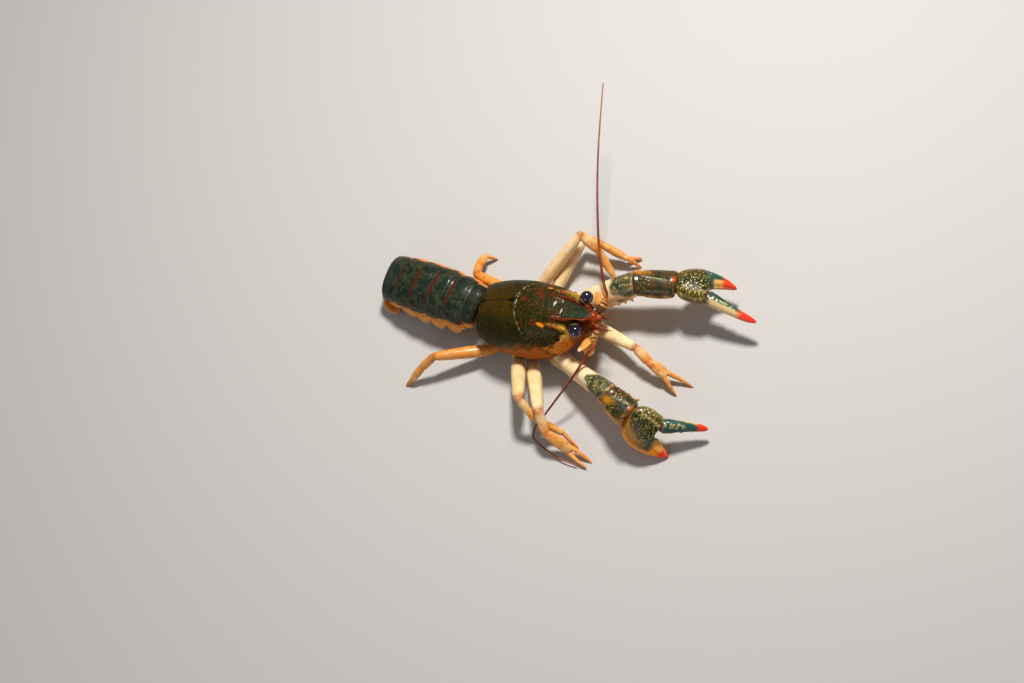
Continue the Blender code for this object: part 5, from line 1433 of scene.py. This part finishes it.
tailWay, tailSide, tailUp = ringFrame(5)
fanPaint = {
    "colour": (0.024, 0.036, 0.018), "relief": (0.5, 0.4, 0.6, 0.36), "coat": 0.25,
    "layers": (
        ("", "mottle", (1.6, 0.42, 0.62), (0.075, 0.06, 0.022), 1.0),
        ("", "specks", (0.6, 0.3, 0.5), (0.3, 0.22, 0.06), 0.7),
        ("rib", "", (), (0.2, 0.12, 0.035), 0.6),
        ("outer", "mottle", (1.6, 0.2, 0.5), (0.62, 0.22, 0.03), 0.9),
        ("edge", "mottle", (1.2, 0.15, 0.4), (0.7, 0.3, 0.06), 1.0),
    ),
}
fanMaterial = shellMaterial("fanPlate", fanPaint)
tailFan = {
    "thickness": 0.9,
    # Across, below, length, half width, spread, and how steeply each part of the curl points down
    "telson": (0.0, 1.6, 9.4, 2.8, 0.0, (45, 80, 96, 122, 160, 178)),
    "uropod_inner_left": (3.95, 2.6, 8.8, 1.85, 0.03, (48, 82, 104, 148, 172, 180)),
    "uropod_inner_right": (-3.95, 2.6, 8.8, 1.85, -0.03, (48, 82, 110, 158, 178, 184)),
    "uropod_outer_left": (5.6, 3.7, 7.0, 1.2, 0.16, (60, 92, 120, 150, 176, 184)),
    "uropod_outer_right": (-5.9, 3.4, 7.0, 1.35, -0.2, (60, 92, 126, 160, 182, 188)),
}
tailRoot = Vector(abdomen["line"][-1]) + tailWay * 0.2
for name in ("telson", "uropod_inner_left", "uropod_inner_right", "uropod_outer_left",
             "uropod_outer_right"):
    across, below, length, half, spread, turns = tailFan[name]
    back = Vector((tailWay.x, tailWay.y, 0)).normalized()
    line = [tailRoot + tailSide * across - tailUp * below]
    for turn in turns:
        angle = math.radians(turn)
        heading = back * math.cos(angle) - Vector((0, 0, 1)) * math.sin(angle) + tailSide * spread
        line.append(line[-1] + heading.normalized() * length / len(turns))
    sizes = []
    for k in range(len(line)):
        t = k / (len(line) - 1)
        wide = half * (0.78 + 0.22 * math.sin(math.pi * min(1.0, t * 0.95)) if t < 0.95 else 0.55)
        sizes.append((wide, tailFan["thickness"] * (0.5 if t < 0.9 else 0.3)))
    mesh = tube(pathRings(line, tailSide, sizes, 48, 2.4, first=tailWay), 9)
    data = asMesh(mesh)
    points, normals = pointsOf(data), normalsOf(data)
    gap, run = nearPath(points, line)
    sideways = (points - np.array(line[0])) @ np.array(tailSide) - spread * run
    ribs = sum(bell(sideways, f * half, 0.16) for f in (-0.42, 0.0, 0.42)) * fade(0.6, 1.8, run)
    seam = bell(run, 0.62 * length, 0.18) * (1.0 if name != "uropod_inner_left" else 0.5)
    movePoints(data, points + normals * (0.1 * ribs - 0.12 * seam)[:, None])
    paint(data, rib=ribs, outer=np.full(len(points), 1.0 if "outer" in name else 0.0),
          edge=np.maximum(fade(0.8, 1.0, np.abs(sideways) / half),
                          fade(length * 0.86, length * 0.97, run)))
    place({"telson": "telsonPlate"}.get(name, name.replace("_", " ").title().replace(" ", "")), data,
          fanMaterial,
          "tail_fan", (name,))
print("abdomen and tail fan are done")


# Eyes, feelers and mouth legs

feelerRoot = ((29.4, 2.4, 10.3), (31.9, 3.5, 10.8))
feelerLines = {
    "left": ((32.7, 6.6, 13.1), (32.2, 9.0, 14.6), (30.6, 13.0, 16.6), (28.6, 19.0, 18.6),
             (26.4, 27.0, 20.6),
             (24.2, 36.0, 22.4), (22.2, 45.0, 23.6), (20.4, 54.0, 24.4), (18.6, 63.0, 24.8)),
    "right": ((32.9, -6.0, 12.8), (32.5, -8.0, 12.8), (31.2, -11.0, 12.0), (28.9, -15.8, 10.4),
              (25.8, -20.4, 7.8), (22.4, -24.6, 4.4), (20.0, -27.6, 2.0), (19.9, -29.6, 1.1),
              (22.2, -31.4, 0.9), (26.0, -33.2, 0.9), (30.0, -34.6, 0.9), (33.8, -35.2, 0.9)),
}
# Low rounded segment under each feeler's base, and its radii
feelerLobe = {
    "left": (((32.1, 5.1, 12.6), (31.9, 5.6, 11.4), (31.7, 5.8, 10.7), (31.6, 5.9, 10.2)),
             (0.5, 0.95, 0.85, 0.4)),
    "right": (((32.2, -5.1, 12.5), (31.6, -6.4, 11.0), (30.9, -7.1, 9.5), (30.6, -7.2, 8.7)),
              (0.5, 1.25, 1.35, 0.6)),
}
mouthLeg = ((21.65, 1.45, 6.7), (28.6, 2.1, 6.2), (32.6, 1.6, 8.2))

eyeMaterial, tree, shader = newMaterial("darkEye")
facets = texture(tree, "Voronoi", Scale=9000.0)
tint = layerMask(tree, "", "mottle", (1.6, 0.35, 0.65), 1.0)
feed(tree, shader, Base_Color=mixColours(tree, tint, (0.002, 0.001, 0.006), (0.008, 0.005, 0.03)),
     Normal=bumpNode(tree, facets.outputs["Distance"], 0.12, 0.00003), Roughness=0.16, Coat_Weight=1.0,
     Coat_Roughness=0.05)

facePaint = {
    "colour": (0.115, 0.046, 0.006), "relief": (0.4, 0.5, 0.6, 0.32), "coat": 0.5, "bump": 0.45,
    "layers": (
        ("", "mottle", (1.2, 0.42, 0.58), (0.03, 0.03, 0.006), 1.0),
        ("", "mottle", (0.8, 0.52, 0.62), (0.4, 0.06, 0.005), 0.85),
        ("low", "mottle", (1.4, 0.1, 0.35), (0.6, 0.105, 0.006), 1.0),
        ("blade", "mottle", (1.1, 0.18, 0.42), (0.8, 0.34, 0.075), 1.0),
        ("point", "", (), (0.88, 0.62, 0.36), 1.0),
        ("dark", "", (), (0.01, 0.007, 0.008), 0.95),
        ("rim", "mottle", (0.9, 0.08, 0.28), (0.84, 0.36, 0.05), 1.0),
        ("ring", "", (), (0.7, 0.52, 0.16), 1.0),
    # Painted reflection: the pale yellow ring on the eye stalk next to the eye
    ),
}
faceMaterial = shellMaterial("faceShell", facePaint)
whipPaint = {
    "colour": (0.17, 0.022, 0.004), "relief": (0.4, 0.3, 0.5, 0.4), "coat": 0.2, "shine": 0.2,
    "layers": (
        ("", "mottle", (2.5, 0.44, 0.62), (0.34, 0.075, 0.012), 0.7),
        ("ringed", "", (), (0.03, 0.006, 0.003), 0.9),
        ("root", "", (), (0.5, 0.075, 0.012), 0.8),
        ("thin", "mottle", (1.2, 0.2, 0.5), (0.5, 0.17, 0.035), 0.6),
    ),
}
whipMaterial = shellMaterial("ringedFeeler", whipPaint)
mouthPaint = {
    "colour": (0.52, 0.19, 0.035), "relief": (0.5, 0.3, 0.6, 0.36), "coat": 0.3, "flesh": 0.1,
    "layers": (
        ("", "mottle", (1.8, 0.42, 0.62), (0.66, 0.32, 0.09), 1.0),
        ("", "mottle", (0.9, 0.55, 0.68), (0.4, 0.1, 0.02), 0.8),
        ("joint", "", (), (0.62, 0.12, 0.018), 0.85),
    ),
}
mouthMaterial = shellMaterial("mouthLegShell", mouthPaint)

def finePath(points, times):
    # Points on a smooth curve through the given ones
    return [Vector(r[0]) for r in finerRings([[p, p] for p in points], times)]


def ringedWhip(points, thick, thin, ringLength, sides=10):
    # Feeler whip made of short beads, tapering from thick to thin, and the share of each bead at its points
    line = finePath(points, 24)
    total = sum((b - a).length for a, b in zip(line, line[1:]))
    count = int(total / ringLength)
    marks, sizes = [], []
    k, run = 0, 0.0
    for step in range(count * 4 + 1):
        target = min(step / (count * 4) * total, total - 1e-6)
        while k < len(line) - 2 and run + (line[k + 1] - line[k]).length < target:
            run += (line[k + 1] - line[k]).length
            k += 1
        t = (target - run) / max((line[k + 1] - line[k]).length, 1e-9)
        marks.append(line[k].lerp(line[k + 1], t))
        radius = thick + (thin - thick) * (target / total) ** 0.8
        radius *= (0.86, 1.0, 1.06, 1.02)[step % 4]
        if step == count * 4:
            radius *= 0.5
        sizes.append(radius)
    return growTube(pathRings(marks, (0.3, 0.1, 1.0), sizes, sides)), line


def paintWhip(data, line, ringLength, rootLength):
    points = pointsOf(data)
    gap, run = nearPath(points, line)
    paint(data,
          ringed=fade(0.1, 0.0, np.abs((run / ringLength) % 1.0 - 0.02))
          + fade(0.85, 1.0, (run / ringLength) % 1.0),
          root=fade(rootLength, 0.0, run), thin=fade(0.55, 0.95, run / run.max()))


for sideName, side in (("left", 1), ("right", -1)):
    label = sideName.title()
    centre = lift(eyeForm[sideName])
    stalkRoot = [lift((x, side * y, z)) for x, y, z in eyeForm["stalk"]]
    rootWay = (stalkRoot[1] - stalkRoot[0]).normalized()
    way = (centre - stalkRoot[1]).normalized()
    mesh = bmesh.new()
    bmesh.ops.create_uvsphere(mesh, u_segments=56, v_segments=36, radius=eyeForm["radius"])
    turn = Vector((0, 0, 1)).rotation_difference(way).to_matrix().to_4x4()
    bmesh.ops.transform(mesh, matrix=Matrix.Translation(centre) @ turn, verts=mesh.verts)
    place("eye" + label, asMesh(mesh), eyeMaterial, "eye", ("eye_" + sideName,))
    flat = centre - way * eyeForm["radius"] * 0.42
    collar = pathRings((stalkRoot[1] - rootWay * 0.8, stalkRoot[1] + rootWay * 0.3,
                        stalkRoot[1].lerp(flat, 0.55),
                        flat - way * 0.25, flat + way * 0.05, flat + way * 0.1), (0, 0, 1),
                       (0.85, 1.0, 1.2, 1.62, 1.72, 1.6), 36,
                       first=rootWay, last=way)
    data = skin([tube(collar, 5)], 0.12, 3)
    points = pointsOf(data)
    gap = (points - np.array(flat)) @ np.array(way)
    # ring: a pale yellow ring on the stalk next to the eye, a painted reflection
    paint(data, dark=fade(-1.5, -1.1, gap), ring=bell(gap, -0.62, 0.13))
    place("eyeStalk" + label, data, faceMaterial, "mouthparts", ("eyestalk_" + sideName,))

    # Feeler base of three rings, with its pointed scale
    root = [lift((x, side * y, z)) for x, y, z in feelerRoot]
    rootWay = (root[1] - root[0]).normalized()
    foot = root[1] + rootWay * 0.3
    tip = Vector(feelerLines[sideName][0])
    way = (tip - foot).normalized()
    line = (root[0], root[1] - rootWay * 0.2, root[1] + rootWay * 0.05, root[1] + rootWay * 0.3, foot
            + rootWay * 0.5 + way * 0.2,
            foot.lerp(tip, 0.42), foot.lerp(tip, 0.48), foot.lerp(tip, 0.54), foot.lerp(tip, 0.74),
            foot.lerp(tip, 0.8),
            foot.lerp(tip, 0.85), tip - way * 0.25, tip)
    widths = (1.2, 1.25, 1.05, 1.22, 1.26, 1.22, 0.95, 1.12, 1.08, 0.82, 0.98, 0.86, 0.55)
    meshes = [tube(pathRings(line, (0, 0, 1), widths, 32, last=way), 5)]
    scaleFoot = foot + rootWay * 0.77 + Vector((-0.25, 0.38 * side, 0.07))
    scaleWay = Vector((-2.5, 4.8 * side, 0.4))
    blade = [scaleFoot + scaleWay * f for f in (0.0, 0.12, 0.3, 0.5, 0.7, 0.86, 0.95, 1.0)]
    sizes = (0.5, (1.0, 0.46), (1.28, 0.42), (1.3, 0.38), (1.15, 0.34), (0.75, 0.28), (0.38, 0.22),
             (0.12, 0.1))
    meshes.append(tube(pathRings(blade, (1.0, 0.3 * side, 0.3), sizes, 28), 5))
    lobe, lobeSizes = feelerLobe[sideName]
    meshes.append(tube(pathRings(lobe, (1, 0, 0), lobeSizes, 24), 5))
    data = skin(meshes, 0.12, 3)
    points = pointsOf(data)
    gap, run = nearPath(points, (foot, tip))
    share = run / (tip - foot).length
    bladeRun = (points - np.array(scaleFoot)) @ np.array(scaleWay.normalized()) / scaleWay.length
    bladeGap, _ = nearPath(points, blade)
    onBlade = fade(0.1, 0.25, bladeRun) * fade(1.35, 1.1, bladeGap)
    onBlade = np.where(gap < 1.0, 0.0, onBlade)
    rings = np.maximum(bell(share, 0.44, 0.05), bell(share, 0.78, 0.05) + (share > 0.95))
    paint(data, rim=rings * (1 - onBlade), low=fade(0.1, -0.9, (points - np.array(foot))[:, 2]),
          blade=onBlade, point=onBlade * fade(0.7, 0.92, bladeRun))
    place("feelerBase" + label, data, faceMaterial, "mouthparts", ("antenna_base_" + sideName,))

    whipWay = (Vector(feelerLines[sideName][1]) - tip).normalized()
    points = [tip - way * 0.3, tip + way * 0.4 + whipWay * 0.2, tip + way * 0.65 + whipWay * 0.9]
    points += [Vector(p) for p in feelerLines[sideName][1:]]
    mesh, line = ringedWhip(points, 0.4, 0.17, 0.42)
    data = asMesh(mesh)
    paintWhip(data, line, 0.42, 3.0)
    place("feeler" + label, data, whipMaterial, "feeler", ("antenna_" + sideName,))

    # Small feeler pair in front of the head
    foot = lift((31.6, side * 1.3, 10.9)) + Vector((0.35, 0, 0))
    way = Vector((0.95, 0.1 * side, 0.2)).normalized()
    stemLine = (foot - way * 1.6, foot - way * 0.1, foot + way * 0.1, foot + way * 0.8, foot + way * 0.95,
                foot + way * 1.6)
    stem = tube(pathRings(stemLine, (0, 0, 1), (0.85, 0.85, 0.7, 0.72, 0.58, 0.5), 20), 4)
    whips = [stem]
    lines = []
    for spread, rise, reach in ((0.35, 0.45, 5.0), (0.05, -0.05, 4.2)):
        whipWay = Vector((0.93, spread * side, rise)).normalized()
        mesh, line = ringedWhip([foot + way * 1.0 + whipWay * reach * f for f in (0.0, 0.2, 0.6, 1.0)],
                                0.3, 0.12, 0.34)
        whips.append(mesh)
        lines.append(line)
    data = asMesh(joinMeshes(whips))
    points = pointsOf(data)
    gap, run = nearPath(points, lines[0])
    paint(data, ringed=fade(0.85, 1.0, (run / 0.34) % 1.0) * (run > 0.2), root=fade(1.2, 0.2, run))
    place("smallFeeler" + label, data, whipMaterial, "feeler", ("antennule_" + sideName,))

    # Outer mouth leg, folded forward under the head, with its fringe
    joints = [lift((x, side * y, z)) for x, y, z in mouthLeg]
    stations = ((0.0, 0.7, 0.8), (0.15, 1.1, 1.15), (0.6, 1.22, 1.22), (0.93, 1.05, 1.1), (1.0, 0.8, 0.9),
                (1.08, 0.95, 1.02), (1.4, 0.95, 1.02), (1.52, 0.75, 0.85), (1.6, 0.82, 0.9),
                (1.9, 0.5, 0.55), (2.0, 0.2, 0.25))
    meshes = [tube(limbRings(joints, stations, (0, 1, 0), count=28), 4), bead(joints[1], 0.8)]
    for k in range(9):
        foot = joints[0].lerp(joints[1], 0.15 + 0.09 * k) + Vector((0, -1.05 * side, -0.35))
        meshes.append(thorn(foot, (0.3, -0.8 * side, -0.5), 0.55, 0.26))
    data = skin(meshes, 0.15, 3)
    points = pointsOf(data)
    gap, run = nearPath(points, joints)
    bend = (joints[1] - joints[0]).length
    paint(data, joint=bell(run, bend, 0.8) + bell(run - bend, 2.3, 0.4))
    place("mouthLeg" + label, data, mouthMaterial, "leg", ("maxilliped_" + sideName,))
print("eyes, feelers and mouth legs are done")
